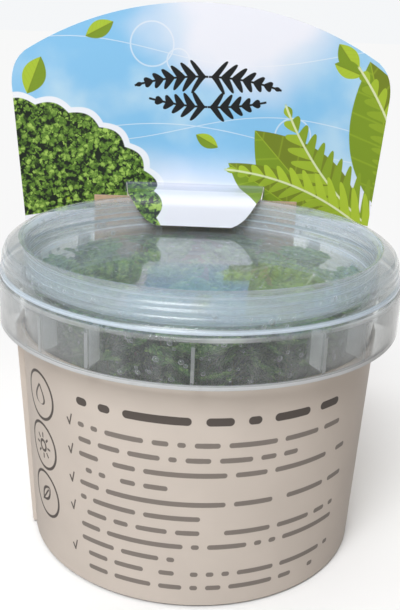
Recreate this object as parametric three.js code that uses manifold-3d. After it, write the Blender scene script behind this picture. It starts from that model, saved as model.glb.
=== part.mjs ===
// Spikemoss growing on gel in a clear culture cup, with the cup's snap lid, card sleeve and header card.
// Millimetres, +Z up. The origin is the centre of the cup's flat base, and +Y points to the header card.
import * as THREE from "three";
import { mergeVertices } from "three/addons/utils/BufferGeometryUtils.js";
import Module from "manifold-3d";

const wasm = await Module();
wasm.setup();

// ---------------------------------------------------------------- driving dimensions

const SEAT = 0.3; // clearance where one piece rests on or stands in another
const SEGMENTS = 60; // facets round the cup and the lid

// Cup: a tapered wall, a bead at its rim, and a collar that hangs outside the wall from a flange.
const BASE_RADIUS = 43.3;
const WALL_FLARE = 0.0402; // growth of the radius for each millimetre of height
const CUP_WALL = 0.7;
const CUP_FLOOR = 1.2;
const CORNER = 2.0; // rounding between the floor and the wall
const COLLAR_RADIUS = 52.0;
const COLLAR_WALL = 0.8;
const COLLAR_FOOT = 62.0;
const FLANGE_TOP = 73.3;
const FLANGE_THICKNESS = 1.0;
const BEAD_RADIUS = 49.2;
const BEAD_FOOT = 77.6;
const BEAD_CHAMFER = 0.6;
const RIM_TOP = 80.0;

// Radial ribs between the wall and the collar, as angles from the front, positive to the right.
const RIB_ANGLES = [-44, -28, -1, 33, 48, 76, 106, 136, 166, 196, 226, 256, 286];
const RIB_THICKNESS = 0.8;
const RIB_FOOT = 63.5;

// Lid: a hollow ring that snaps over the rim, and a panel sunk inside it.
const LID_WALL = 0.7;
const LID_FOOT = 73.7;
const LID_FOOT_RADIUS = 51.5;
const LID_CREST = 82.1;
const LID_CREST_RADIUS = 46.4;
const LID_SHOULDER_RADIUS = 50.2;
const LID_SHOULDER = 79.5;
const LID_RECESS_RADIUS = 44.5;
const PANEL_TOP = 72.0;
const PANEL_THICKNESS = 0.8;
const PANEL_RADIUS = 41.3;

// Sleeve: a card wrapped round the wall, lapped at the left, with a tab cut from it at the back.
const CARD = 0.6;
const SLEEVE_FOOT = 0.6;
const SLEEVE_TOP = 59.5;
const LAP_ANGLE = -77; // where the outer end of the card stops, from the front
const LAP_WIDTH = 18; // degrees of double card
const LAP_EDGE = 0.6; // degrees taken by the cut edge
const TAB_WIDTH = 64;
const TAB_CENTRE = -2.4;
const TAB_ROOT = 30;
const TAB_STRAIGHT = 61.5; // above this height the tab is flat and upright
const TAB_TOP = 78.5;
const TAB_FRONT = COLLAR_RADIUS + SEAT + 0.05;
const SLIT = 1.2; // degrees between the tab and the rest of the sleeve
const TAB_COLUMNS = 12;
const BELT_COLUMNS = 46;
const TAB_ROWS = 5; // the last of them is the straight part

// Header card: a plate behind the tab, and a flap from its foot that hooks over the lid into the recess.
const HEADER_CENTRE = -1.9;
const HEADER_FOOT = 70.0;
const HEADER_FOOT_HALF = 54.7;
const HEADER_SHOULDER = 112;
const HEADER_HALF = 57.7;
const HEADER_CARD = 0.7;
const HEADER_FRONT = TAB_FRONT + CARD + SEAT + 0.05;
const CROWN_RADIUS = 100;
const CROWN_TOP = 138.3;
const CROWN_HALF = 53.5; // half the width that the crown's arc covers before the shoulders round over
const FLAP_CENTRE = -2.65;
const FLAP_ROOT = 84.6;
const FLAP_ROOT_HALF = 22.3;
const FLAP_WAIST_HALF = 20.4; // where the flap enters the recess
const FLAP_END_HALF = 12.9;
const FLAP_CARD = 0.6;
const FLAP_COLUMNS = 4;
const FLAP_ROWS = 12;
const FLAP_SLIT = 0.3;

// Gel and the leafy stems that stand in it.
const GEL_TOP = 14;
const HOLE_RADIUS = 1.4;
const HOLE_FOOT = 6;
const STEM_WIDTH = 1.2;
const BLADE = 0.8; // thickness of a spray
const SPRAY_RINGS = [
  { radius: 9, count: 3, reach: 7.4 },
  { radius: 23, count: 8, reach: 8.6 },
  { radius: 37.3, count: 11, reach: 9.6 },
];
const SPRAY_FOOT = HOLE_FOOT + SEAT;
const SPRAY_TOP = 70.6; // the tallest sprays all but touch the lid's panel
const SPRAY_SHORTEST = 63;
const FIRST_BRANCH = 18;
const BRANCHES = 8;
const BRANCH_ANGLE = 58; // degrees from the stem, at the foot
const CROWN_ANGLE = 48; // and at the top
const CROWN = 6; // height of the tip above the last branch
const BRANCH_RIB = 0.6;
const LEAFLET_PLACES = [0.5, 0.9]; // as shares of the branch's length
const LEAFLET = 1.9; // how far a leaflet stands out
const SEED = 20261;

// ---------------------------------------------------------------- helpers

const radians = THREE.MathUtils.degToRad;
const { smoothstep, lerp } = THREE.MathUtils;

/** The radius of the cup's outer wall at a height. */
const wallRadius = (z) => BASE_RADIUS + WALL_FLARE * z;

/** The radius of the cup's inner wall at a height. */
const boreRadius = (z) => wallRadius(z) - CUP_WALL;

/** A point on a circle round Z, at an angle from the front that grows to the right. */
const around = (degrees, radius, z) => {
  const a = radians(degrees);
  return [radius * Math.sin(a), -radius * Math.cos(a), z];
};

/** A repeatable stream of numbers from 0 to 1 (a 32-bit multiply-and-shift generator). */
function randomStream(seed) {
  let state = seed;
  return () => {
    state = (state + 0x6d2b79f5) | 0;
    let t = Math.imul(state ^ (state >>> 15), 1 | state);
    t = (t + Math.imul(t ^ (t >>> 7), 61 | t)) ^ t;
    return ((t ^ (t >>> 14)) >>> 0) / 2 ** 32;
  };
}

/** A closed mesh as a solid for joining and cutting. */
function solidOf(geometry) {
  const bare = new THREE.BufferGeometry();
  const loose = geometry.index ? geometry.toNonIndexed() : geometry;
  bare.setAttribute("position", loose.getAttribute("position"));
  const merged = mergeVertices(bare, 1e-4);
  return new wasm.Manifold(
    new wasm.Mesh({
      numProp: 3,
      vertProperties: merged.attributes.position.array,
      triVerts: new Uint32Array(merged.index.array),
    }),
  );
}

/** A solid as a flat-shaded geometry. */
function geometryOf(solid) {
  const mesh = solid.getMesh();
  const geometry = new THREE.BufferGeometry();
  geometry.setAttribute("position", new THREE.BufferAttribute(mesh.vertProperties, mesh.numProp));
  geometry.setIndex(new THREE.BufferAttribute(mesh.triVerts, 1));
  const flat = geometry.toNonIndexed();
  flat.computeVertexNormals();
  return flat;
}

/** A body of revolution round Z from [radius, height] pairs that go once round its section. */
function turned(profile) {
  const points = profile.map(([radius, z]) => new THREE.Vector2(radius, z));
  return new THREE.LatheGeometry(points, SEGMENTS).rotateX(Math.PI / 2);
}

/**
 * A sheet with thickness, over a lattice of cells. place(i, j, side) gives a lattice point on the back
 * (side 0) or the front (side 1), with i running right and j up as the front is seen, and present(i, j)
 * says whether that cell is there. Both faces are split into the same triangles.
 */
function sheetSolid({ columns, rows, closed, place, present = () => true }) {
  const positions = [];
  const wrap = (i) => (closed ? (i + columns) % columns : i);
  const inside = (i, j) => j >= 0 && j < rows && wrap(i) >= 0 && wrap(i) < columns;
  const has = (i, j) => inside(i, j) && present(wrap(i), j);
  const triangle = (...corners) => corners.forEach((p) => positions.push(...p));
  const cornerSteps = [[0, 0], [1, 0], [1, 1], [0, 1]];
  const neighbours = [[0, -1], [1, 0], [0, 1], [-1, 0]];
  for (let i = 0; i < columns; i++) {
    for (let j = 0; j < rows; j++) {
      if (!has(i, j)) continue;
      const corners = (side) => cornerSteps.map(([di, dj]) => place(wrap(i + di), j + dj, side));
      const [back, front] = [corners(0), corners(1)];
      triangle(front[0], front[1], front[2]);
      triangle(front[0], front[2], front[3]);
      triangle(back[0], back[2], back[1]);
      triangle(back[0], back[3], back[2]);
      neighbours.forEach(([di, dj], k) => {
        if (has(i + di, j + dj)) return;
        const next = (k + 1) % 4;
        triangle(back[k], back[next], front[next]);
        triangle(back[k], front[next], front[k]);
      });
    }
  }
  const geometry = new THREE.BufferGeometry();
  geometry.setAttribute("position", new THREE.Float32BufferAttribute(positions, 3));
  return solidOf(geometry);
}

// ---------------------------------------------------------------- cup

/** One radial rib: a thin plate from inside the wall to inside the collar, up into the flange. */
function rib(degrees) {
  const inner = boreRadius(RIB_FOOT) + CUP_WALL / 2;
  const outer = COLLAR_RADIUS - COLLAR_WALL / 2;
  const top = FLANGE_TOP - FLANGE_THICKNESS / 2;
  const plate = new THREE.BoxGeometry(RIB_THICKNESS, outer - inner, top - RIB_FOOT);
  plate.translate(0, -(inner + outer) / 2, (top + RIB_FOOT) / 2);
  return solidOf(plate.rotateZ(radians(degrees)));
}

function cupGeometry() {
  const flangeFoot = FLANGE_TOP - FLANGE_THICKNESS;
  const collarBore = COLLAR_RADIUS - COLLAR_WALL;
  const body = turned([
    [0, 0],
    [BASE_RADIUS - CORNER, 0],
    [BASE_RADIUS - CORNER / 4, CORNER / 3],
    [wallRadius(CORNER), CORNER],
    [wallRadius(flangeFoot), flangeFoot],
    [collarBore, flangeFoot],
    [collarBore, COLLAR_FOOT],
    [COLLAR_RADIUS, COLLAR_FOOT],
    [COLLAR_RADIUS, FLANGE_TOP],
    [wallRadius(FLANGE_TOP), FLANGE_TOP],
    [wallRadius(BEAD_FOOT), BEAD_FOOT],
    [BEAD_RADIUS, BEAD_FOOT],
    [BEAD_RADIUS, RIM_TOP - BEAD_CHAMFER],
    [BEAD_RADIUS - BEAD_CHAMFER, RIM_TOP],
    [boreRadius(RIM_TOP), RIM_TOP],
    [boreRadius(CUP_FLOOR + CORNER), CUP_FLOOR + CORNER],
    [boreRadius(CUP_FLOOR) - CORNER, CUP_FLOOR],
    [0, CUP_FLOOR],
  ]);
  return geometryOf(RIB_ANGLES.map(rib).reduce((cup, next) => cup.add(next), solidOf(body)));
}

// ---------------------------------------------------------------- lid

function lidGeometry() {
  const panelFoot = PANEL_TOP - PANEL_THICKNESS;
  const recessTop = LID_RECESS_RADIUS + WALL_FLARE * (LID_CREST - PANEL_TOP);
  const outside = [
    [LID_FOOT_RADIUS, LID_FOOT],
    [LID_FOOT_RADIUS, LID_FOOT + 0.7],
    [LID_FOOT_RADIUS - 0.6, LID_FOOT + 1.3],
    [LID_SHOULDER_RADIUS + 0.7, LID_SHOULDER - 2.1],
    [LID_SHOULDER_RADIUS + 0.1, LID_SHOULDER - 1.2],
    [LID_SHOULDER_RADIUS, LID_SHOULDER],
    [LID_SHOULDER_RADIUS - 0.9, LID_CREST - 1.3],
    [LID_CREST_RADIUS + 1.4, LID_CREST - 0.3],
    [LID_CREST_RADIUS, LID_CREST],
    [recessTop, LID_CREST - 1.1],
    [LID_RECESS_RADIUS, PANEL_TOP + 2],
    [LID_RECESS_RADIUS - 0.9, PANEL_TOP + 0.6],
    [PANEL_RADIUS, PANEL_TOP],
    [0, PANEL_TOP],
  ];
  const inside = [
    [0, panelFoot],
    [PANEL_RADIUS + 0.4, panelFoot],
    [LID_RECESS_RADIUS - 0.2, PANEL_TOP],
    [LID_RECESS_RADIUS + LID_WALL, PANEL_TOP + 2],
    [recessTop + LID_WALL, RIM_TOP + SEAT],
    [BEAD_RADIUS - BEAD_CHAMFER, RIM_TOP + SEAT],
    [BEAD_RADIUS + SEAT, RIM_TOP - BEAD_CHAMFER],
    [LID_FOOT_RADIUS - LID_WALL - 0.5, LID_FOOT + 1.3],
    [LID_FOOT_RADIUS - LID_WALL, LID_FOOT],
  ];
  return turned([...outside, ...inside, outside[0]]);
}

// ---------------------------------------------------------------- sleeve

const TAB_HALF_ANGLE = THREE.MathUtils.radToDeg(TAB_WIDTH / 2 / wallRadius(TAB_ROOT));
const TAB_ANGLE = 180 - THREE.MathUtils.radToDeg(TAB_CENTRE / wallRadius(TAB_ROOT));

/** The angles of the sleeve's columns: the tab, a slit, the belt round the front, and the other slit. */
function sleeveAngles() {
  const tabStart = TAB_ANGLE - TAB_HALF_ANGLE;
  const beltStart = TAB_ANGLE + TAB_HALF_ANGLE + SLIT - 360;
  const beltSweep = 360 - 2 * (TAB_HALF_ANGLE + SLIT);
  const spread = (start, sweep, columns) =>
    Array.from({ length: columns + 1 }, (_, k) => start + (sweep * k) / columns);
  const tab = spread(tabStart, 2 * TAB_HALF_ANGLE, TAB_COLUMNS);
  const belt = spread(beltStart, beltSweep, BELT_COLUMNS);
  const lapEdge = belt.findIndex((angle) => angle > LAP_ANGLE);
  belt.splice(lapEdge, 0, LAP_ANGLE, LAP_ANGLE + LAP_EDGE);
  return { tab, belt, all: [...tab.map((angle) => angle - 360), ...belt] };
}

/** How far the card stands out at an angle, where its outer end lies over its inner end. */
function lapRise(angle) {
  if (angle > LAP_ANGLE + LAP_EDGE / 2) return 0;
  return CARD * smoothstep(angle, LAP_ANGLE - LAP_WIDTH, LAP_ANGLE - LAP_WIDTH / 2);
}

function sleeveGeometry() {
  const { tab, all } = sleeveAngles();
  const isTab = (i) => i < tab.length;
  const present = (i, j) => {
    const tabCell = i < tab.length - 1;
    const slitCell = i === tab.length - 1 || i === all.length - 1;
    return j === 0 || tabCell || (j === 1 && !slitCell);
  };
  const height = (i, j) => {
    if (j < 2) return [SLEEVE_FOOT, TAB_ROOT][j];
    if (!isTab(i)) return SLEEVE_TOP;
    return j > TAB_ROWS ? TAB_TOP : lerp(TAB_ROOT, TAB_STRAIGHT, (j - 1) / (TAB_ROWS - 1));
  };
  const place = (i, j, side) => {
    const z = height(i, j);
    const inner = wallRadius(z) + SEAT;
    const wrapped = around(all[i], side ? inner + CARD + lapRise(all[i]) : inner, z);
    if (!isTab(i) || j < 2) return wrapped;
    const across = TAB_CENTRE - ((all[i] + 360 - TAB_ANGLE) / TAB_HALF_ANGLE) * (TAB_WIDTH / 2);
    const flat = [across, TAB_FRONT + side * CARD, z];
    const share = smoothstep(z, TAB_ROOT, TAB_STRAIGHT);
    return wrapped.map((value, axis) => lerp(value, flat[axis], share));
  };
  return geometryOf(
    sheetSolid({ columns: all.length, rows: TAB_ROWS + 1, closed: true, place, present }),
  );
}

// ---------------------------------------------------------------- header card

/** The plate: straight sides, rounded shoulders, a wide arc on top, and a notch where the flap was cut. */
function headerPlate() {
  const crownCentre = CROWN_TOP - CROWN_RADIUS;
  const crownEdge = crownCentre + Math.sqrt(CROWN_RADIUS ** 2 - CROWN_HALF ** 2);
  const crownAngle = Math.acos(CROWN_HALF / CROWN_RADIUS);
  const notch = FLAP_CENTRE - HEADER_CENTRE;
  const footHalf = FLAP_WAIST_HALF + FLAP_SLIT;
  const rootHalf = FLAP_ROOT_HALF + FLAP_SLIT;
  const outline = new THREE.Shape();
  outline.moveTo(HEADER_FOOT_HALF, HEADER_FOOT);
  outline.lineTo(HEADER_HALF, HEADER_SHOULDER);
  outline.quadraticCurveTo(HEADER_HALF + 0.3, crownEdge - 3.5, CROWN_HALF, crownEdge);
  outline.absarc(0, crownCentre, CROWN_RADIUS, crownAngle, Math.PI - crownAngle, false);
  outline.quadraticCurveTo(-HEADER_HALF - 0.3, crownEdge - 3.5, -HEADER_HALF, HEADER_SHOULDER);
  outline.lineTo(-HEADER_FOOT_HALF, HEADER_FOOT);
  outline.lineTo(notch - footHalf, HEADER_FOOT);
  outline.lineTo(notch - rootHalf, FLAP_ROOT);
  outline.lineTo(notch + rootHalf, FLAP_ROOT);
  outline.lineTo(notch + footHalf, HEADER_FOOT);
  const card = { depth: HEADER_CARD, bevelEnabled: false, curveSegments: 10 };
  const plate = new THREE.ExtrudeGeometry(outline, card);
  plate.rotateX(Math.PI / 2).translate(HEADER_CENTRE, HEADER_FRONT + HEADER_CARD, 0);
  return solidOf(plate);
}

/** The flap's middle line from inside the plate, over the lid's rim and down into the recess, as [y, z]. */
function flapPath() {
  const plateMiddle = HEADER_FRONT + HEADER_CARD / 2;
  const overRim = LID_CREST + SEAT + 0.1 + FLAP_CARD / 2;
  const points = [
    [plateMiddle, FLAP_ROOT + 1.6],
    [plateMiddle, FLAP_ROOT],
    [plateMiddle - 1, overRim + 0.5],
    [plateMiddle - 3.2, overRim],
    [43, overRim],
    [40, overRim - 0.3],
    [38, overRim - 1.8],
    [38.3, overRim - 4.6],
    [39.9, PANEL_TOP + 1.5],
  ];
  return new THREE.CatmullRomCurve3(points.map(([y, z]) => new THREE.Vector3(0, y, z)));
}

/** Half the flap's width at a share of its length. It tapers to the rim, then rounds in to its end. */
function flapHalf(share) {
  const waist = 0.62;
  if (share < waist) return lerp(FLAP_ROOT_HALF, FLAP_WAIST_HALF, share / waist);
  return lerp(FLAP_WAIST_HALF, FLAP_END_HALF, ((share - waist) / (1 - waist)) ** 1.3);
}

function headerFlap() {
  const path = flapPath();
  const place = (i, j, side) => {
    const share = 1 - j / FLAP_ROWS;
    const { y, z } = path.getPointAt(share);
    const along = path.getTangentAt(share);
    const offset = (side ? 0.5 : -0.5) * FLAP_CARD;
    const across = FLAP_CENTRE + (2 * (i / FLAP_COLUMNS) - 1) * flapHalf(share);
    return [across, y + offset * along.z, z - offset * along.y];
  };
  return sheetSolid({ columns: FLAP_COLUMNS, rows: FLAP_ROWS, closed: false, place });
}

const headerGeometry = () => geometryOf(headerPlate().add(headerFlap()));

// ---------------------------------------------------------------- gel

/** Where each spray stands, and its own draw of size and turn. */
function sprayPlaces() {
  const random = randomStream(SEED);
  return SPRAY_RINGS.flatMap(({ radius, count, reach }, ring) =>
    Array.from({ length: count }, (_, k) => ({
      radius,
      reach,
      angle: (360 * (k + 0.5 * (ring % 2))) / count,
      turn: lerp(-16, 16, random()),
      twist: lerp(-10, 10, random()),
      top: lerp(SPRAY_SHORTEST, SPRAY_TOP, Math.sqrt(random())),
      side: random() < 0.5 ? -1 : 1,
      sway: lerp(-1.2, 1.2, random()),
      random: randomStream(SEED + 100 * ring + k),
    })),
  );
}

function gelGeometry(places) {
  const body = turned([
    [0, CUP_FLOOR + SEAT],
    [boreRadius(CUP_FLOOR) - CORNER - SEAT, CUP_FLOOR + SEAT],
    [boreRadius(CUP_FLOOR + CORNER) - SEAT, CUP_FLOOR + CORNER + SEAT],
    [boreRadius(GEL_TOP) - SEAT, GEL_TOP],
    [0, GEL_TOP],
  ]);
  const depth = GEL_TOP + 1 - HOLE_FOOT;
  const holes = places.map(({ radius, angle }) => {
    const hole = new THREE.CylinderGeometry(HOLE_RADIUS, HOLE_RADIUS, depth, 5);
    hole.rotateX(Math.PI / 2).translate(...around(angle, radius, HOLE_FOOT + depth / 2));
    return solidOf(hole);
  });
  return geometryOf(holes.reduce((gel, hole) => gel.subtract(hole), solidOf(body)));
}

// ---------------------------------------------------------------- spikemoss

/**
 * The outline of one leafy side branch, from its lower root to its upper root. Its leaflets are pointed
 * lobes that slant towards its tip, two on each side of the rib and one at the end.
 */
function branchOutline(side, rootHeight, length, angle) {
  const along = [Math.sin(angle), Math.cos(angle)];
  const below = [Math.cos(angle), -Math.sin(angle)];
  const point = (distance, offset) => [
    side * (STEM_WIDTH / 2 + along[0] * distance + below[0] * offset),
    rootHeight + along[1] * distance + below[1] * offset,
  ];
  const edge = (sense) => [
    point(0, sense * BRANCH_RIB),
    ...LEAFLET_PLACES.flatMap((place) => [
      point(place * length, sense * LEAFLET),
      point((place + 0.12) * length, sense * BRANCH_RIB),
    ]),
  ];
  return [...edge(1), point(length + 0.8 * LEAFLET, 0), ...edge(-1).reverse()];
}

/** One leaflet that grows straight from the stem: a pointed lobe from its foot to its upper root. */
function stemLeaflet(side, height) {
  const half = STEM_WIDTH / 2;
  const lobe = [[half, height], [half + LEAFLET, height + 0.9 * LEAFLET], [half, height + 1.1 * LEAFLET]];
  return lobe.map(([u, v]) => [side * u, v]);
}

/** The outline of a whole spray in its own plane: up the right side of the stem and down the left. */
function sprayOutline({ reach, top, side, random }) {
  const half = STEM_WIDTH / 2;
  const pitch = (top - FIRST_BRANCH - CROWN) / (BRANCHES - 1);
  const sides = { 1: [], [-1]: [] };
  for (let k = 0; k < BRANCHES; k++) {
    const branchSide = k % 2 ? -side : side;
    const height = FIRST_BRANCH + k * pitch;
    const share = k / (BRANCHES - 1);
    const angle = radians(lerp(BRANCH_ANGLE, CROWN_ANGLE, share) + lerp(-5, 5, random()));
    const longest = (reach - half) / Math.sin(angle) - LEAFLET;
    const length = longest * lerp(1, 0.62, share ** 2) * lerp(0.88, 1, random());
    sides[branchSide].push(...branchOutline(branchSide, height, length, angle));
    sides[-branchSide].push(...stemLeaflet(-branchSide, height - 0.2 * pitch));
  }
  const bareTop = FIRST_BRANCH - 2;
  const foot = [[-half, bareTop], [-half, SPRAY_FOOT], [half, SPRAY_FOOT], [half, bareTop]];
  return [...foot, ...sides[1], [0, top], ...sides[-1].reverse()];
}

/** A spray as a thin blade, arched outwards and twisted a little, standing at its place in the gel. */
function sprayGeometry(spray) {
  const outline = sprayOutline(spray).map(([u, v]) => new THREE.Vector2(u, v));
  const blade = new THREE.ExtrudeGeometry(new THREE.Shape(outline), { depth: BLADE, bevelEnabled: false });
  const point = new THREE.Vector3();
  const upright = new THREE.Vector3(0, 0, 1);
  const { position } = blade.attributes;
  for (let i = 0; i < position.count; i++) {
    const [u, v, w] = [position.getX(i), position.getY(i), position.getZ(i) - BLADE / 2];
    const rise = Math.max(0, v - GEL_TOP) / (SPRAY_TOP - GEL_TOP);
    const arch = 0.055 * spray.radius * rise ** 2 + spray.sway * rise * (1 - rise);
    const droop = 0.025 * u * u;
    point.set(u, -(w + arch + droop), v).applyAxisAngle(upright, radians(spray.twist) * rise);
    position.setXYZ(i, point.x, point.y, point.z);
  }
  blade.rotateZ(radians(spray.turn)).translate(0, -spray.radius, 0).rotateZ(radians(spray.angle));
  return blade;
}

// ---------------------------------------------------------------- the whole cup

const finish = (color, roughness) => new THREE.MeshStandardMaterial({ color, roughness, metalness: 0 });

/** Clear polypropylene, a little frosted. */
function clearPlastic() {
  const plastic = finish(0xdde4e8, 0.35);
  plastic.transparent = true;
  plastic.opacity = 0.35;
  return plastic;
}

const part = new THREE.Group();

function addPiece(name, geometry, material) {
  const mesh = new THREE.Mesh(geometry, material);
  mesh.name = name;
  part.add(mesh);
}

const places = sprayPlaces();
addPiece("cup", cupGeometry(), clearPlastic());
addPiece("lid", lidGeometry(), clearPlastic());
addPiece("sleeve", sleeveGeometry(), finish(0xd6cabb, 0.8));
addPiece("header_card", headerGeometry(), finish(0xa9d0e6, 0.55));
addPiece("gel", gelGeometry(places), finish(0xcfd6bd, 0.2));
places.forEach((spray, k) => {
  const name = `spray_${String(k + 1).padStart(2, "0")}`;
  addPiece(name, sprayGeometry(spray), finish(0x3f6b35, 0.6));
});

export default part;
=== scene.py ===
# %% [markdown]
# # Spikemoss in a lidded culture cup
# The real object is a clear tub of spikemoss grown on gel. A snap lid closes it, a card sleeve is wrapped
# round it, and a printed header card stands behind the lid with a flap hooked over the rim.
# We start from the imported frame, which holds every piece at its real size and place. Each cell below then
# dresses one piece: first its surface, worked out with numpy, and then its finish, built from shader nodes.

# %% The frame
import math

import bpy
import numpy as np
from mathutils import Matrix


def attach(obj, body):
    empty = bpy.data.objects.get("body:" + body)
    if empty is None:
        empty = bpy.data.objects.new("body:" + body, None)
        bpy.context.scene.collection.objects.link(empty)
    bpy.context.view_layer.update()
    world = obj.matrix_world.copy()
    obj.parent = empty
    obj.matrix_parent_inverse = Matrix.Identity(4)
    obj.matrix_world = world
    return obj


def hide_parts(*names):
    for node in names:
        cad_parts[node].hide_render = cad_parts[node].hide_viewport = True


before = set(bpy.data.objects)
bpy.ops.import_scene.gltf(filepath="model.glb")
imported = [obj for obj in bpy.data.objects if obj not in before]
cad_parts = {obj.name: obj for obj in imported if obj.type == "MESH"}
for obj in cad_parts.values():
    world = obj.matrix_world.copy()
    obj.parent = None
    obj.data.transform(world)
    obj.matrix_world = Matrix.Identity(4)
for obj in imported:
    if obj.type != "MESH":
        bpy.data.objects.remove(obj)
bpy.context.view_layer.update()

print("frame:", len(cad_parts), "nodes")

# %% [markdown]
# ## Making meshes
# Every piece is computed in millimetres as whole arrays and turned into a mesh at the end. A surface is a
# lattice of points, and its faces follow from the lattice alone, so one short function serves all of them.
# A small shape that comes back hundreds of times, as a drop or a leaf does, is copied by one array sum. A
# closed body whose faces point inwards has a negative volume, and then the faces are turned round.

# %% From arrays to a piece
MM = 0.001


def lattice_faces(columns, rows, closed=False):
    """Quads between neighbours of a lattice whose points are numbered up each column in turn."""
    last = columns if closed else columns - 1
    i, j = np.meshgrid(np.arange(last), np.arange(rows - 1), indexing="ij")
    right = (i + 1) % columns
    corners = [i * rows + j, right * rows + j, right * rows + j + 1, i * rows + j + 1]
    return np.stack(corners, -1).reshape(-1, 4)


def unit(vectors):
    """Vectors of length one along the given ones."""
    return vectors / np.linalg.norm(vectors, axis=-1, keepdims=True)


def repeated(faces, count, size):
    """The faces of many bodies with size points each, one body after another."""
    shift = (np.arange(count) * size)[:, None, None]
    return [(group + shift).reshape(-1, group.shape[1]) for group in faces]


def copies(shape, faces, places, axes, scale):
    """A shape's points p copied to every place: place + scale (p_x X + p_y Y + p_z Z), where X, Y and Z
    are that copy's own axes."""
    points = places[:, None] + np.einsum("vk,nkx->nvx", shape, axes) * scale[:, None, None]
    return points.reshape(-1, 3), repeated(faces, len(places), len(shape))


def joined(*bodies):
    """One pair of points and faces from several, with the quads first and the triangles after them."""
    points, quads, triangles, count = [], [], [], 0
    for body_points, faces in bodies:
        for group in faces:
            (quads if group.shape[1] == 4 else triangles).append(group + count)
        points.append(body_points)
        count += len(body_points)
    return np.concatenate(points), [np.concatenate(group) for group in (quads, triangles) if group]


def signed_volume(points, faces):
    """A sixth of the sum of a . (b x c) over the triangles that fan out from each face's first corner."""
    total = 0.0
    for group in faces:
        for k in range(1, group.shape[1] - 1):
            a, b, c = (points[group[:, corner]] for corner in (0, k, k + 1))
            total += np.einsum("ij,ij->", a, np.cross(b, c)) / 6
    return total


def make_piece(name, points, faces, smooth=True):
    """A mesh object from points in millimetres and arrays of faces, turned to face outwards."""
    if signed_volume(points, faces) < 0:
        faces = [group[:, ::-1] for group in faces]
    mesh = bpy.data.meshes.new(name)
    mesh.from_pydata((points * MM).tolist(), [], [face for group in faces for face in group.tolist()])
    mesh.polygons.foreach_set("use_smooth", np.full(len(mesh.polygons), smooth))
    mesh.update()
    piece = bpy.data.objects.new(name, mesh)
    bpy.context.scene.collection.objects.link(piece)
    return piece


def dress(piece, material, slot, *nodes):
    """Gives a piece its finish, fixes it to the frame, and hides the plain nodes it stands for."""
    piece.data.materials.append(material)
    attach(piece, "root")
    if nodes:
        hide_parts(*nodes)
    print(f"{piece.name}: {len(piece.data.polygons)} faces for {', '.join(nodes) or 'detail'}")


# %% [markdown]
# ## Shaders as formulas
# A print, a grain or a haze is a formula over the surface. Wiring it node by node is slow to read, so a
# small class wraps a socket and lets Python's own arithmetic add the Math nodes. The result is an
# ordinary node tree, which can be opened and changed in the shader editor.

# %% Fields
class Field:
    """A number that a material works out at each point of a surface."""

    def __init__(self, socket):
        self.socket = socket

    def math(self, operation, *others):
        node = self.socket.id_data.nodes.new("ShaderNodeMath")
        node.operation = operation
        for slot, value in zip(node.inputs, (self, *others)):
            feed(slot, value)
        return Field(node.outputs[0])

    def __add__(self, other):
        return self.math("ADD", other)

    def __sub__(self, other):
        return self.math("SUBTRACT", other)

    def __mul__(self, other):
        return self.math("MULTIPLY", other)

    def __truediv__(self, other):
        return self.math("DIVIDE", other)

    def __pow__(self, other):
        return self.math("POWER", other)

    def __rsub__(self, other):
        return self * -1 + other

    __radd__ = __add__
    __rmul__ = __mul__

    def __abs__(self):
        return self.math("ABSOLUTE")

    def low(self, other):
        return self.math("MINIMUM", other)

    def high(self, other):
        return self.math("MAXIMUM", other)

    def floor(self):
        return self.math("FLOOR")

    def fraction(self):
        return self.math("FRACT")

    def root(self):
        return self.high(0).math("SQRT")

    def sine(self):
        return self.math("SINE")


def feed(slot, value):
    """Sets a node's input, or links it where the value is a field or a socket."""
    if isinstance(value, Field):
        value = value.socket
    if isinstance(value, bpy.types.NodeSocket):
        slot.id_data.links.new(value, slot)
    elif slot.type == "RGBA" and len(value) == 3:
        slot.default_value = (*value, 1)
    else:
        slot.default_value = value


def ramp(value, low, high):
    """0 below low, 1 above high, and a smooth step between them."""
    node = value.socket.id_data.nodes.new("ShaderNodeMapRange")
    node.interpolation_type = "SMOOTHSTEP"
    feed(node.inputs["Value"], value)
    feed(node.inputs["From Min"], low)
    feed(node.inputs["From Max"], high)
    return Field(node.outputs["Result"])


def band(value, half, soft):
    """1 where a value lies within half of zero, with an edge that is soft wide."""
    return 1 - ramp(abs(value), half - soft / 2, half + soft / 2)


def within(value, low, high, soft=0.01):
    """1 from low to high, with an edge that is soft wide just outside them."""
    return ramp(value, low - soft, low) * (1 - ramp(value, high, high + soft))


def distance(x, y):
    """The root of x^2 + y^2."""
    return (x * x + y * y).root()


def angle_of(y, x):
    """The turn from the x axis to the direction (x, y), in radians."""
    return y.math("ARCTAN2", x)


def mixed(tree, factor, first, second):
    """A colour that turns from first to second as the factor goes from 0 to 1."""
    node = tree.nodes.new("ShaderNodeMix")
    node.data_type = "RGBA"
    for k, value in zip((0, 6, 7), (factor, first, second)):
        feed(node.inputs[k], value)
    return node.outputs[2]


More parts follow.
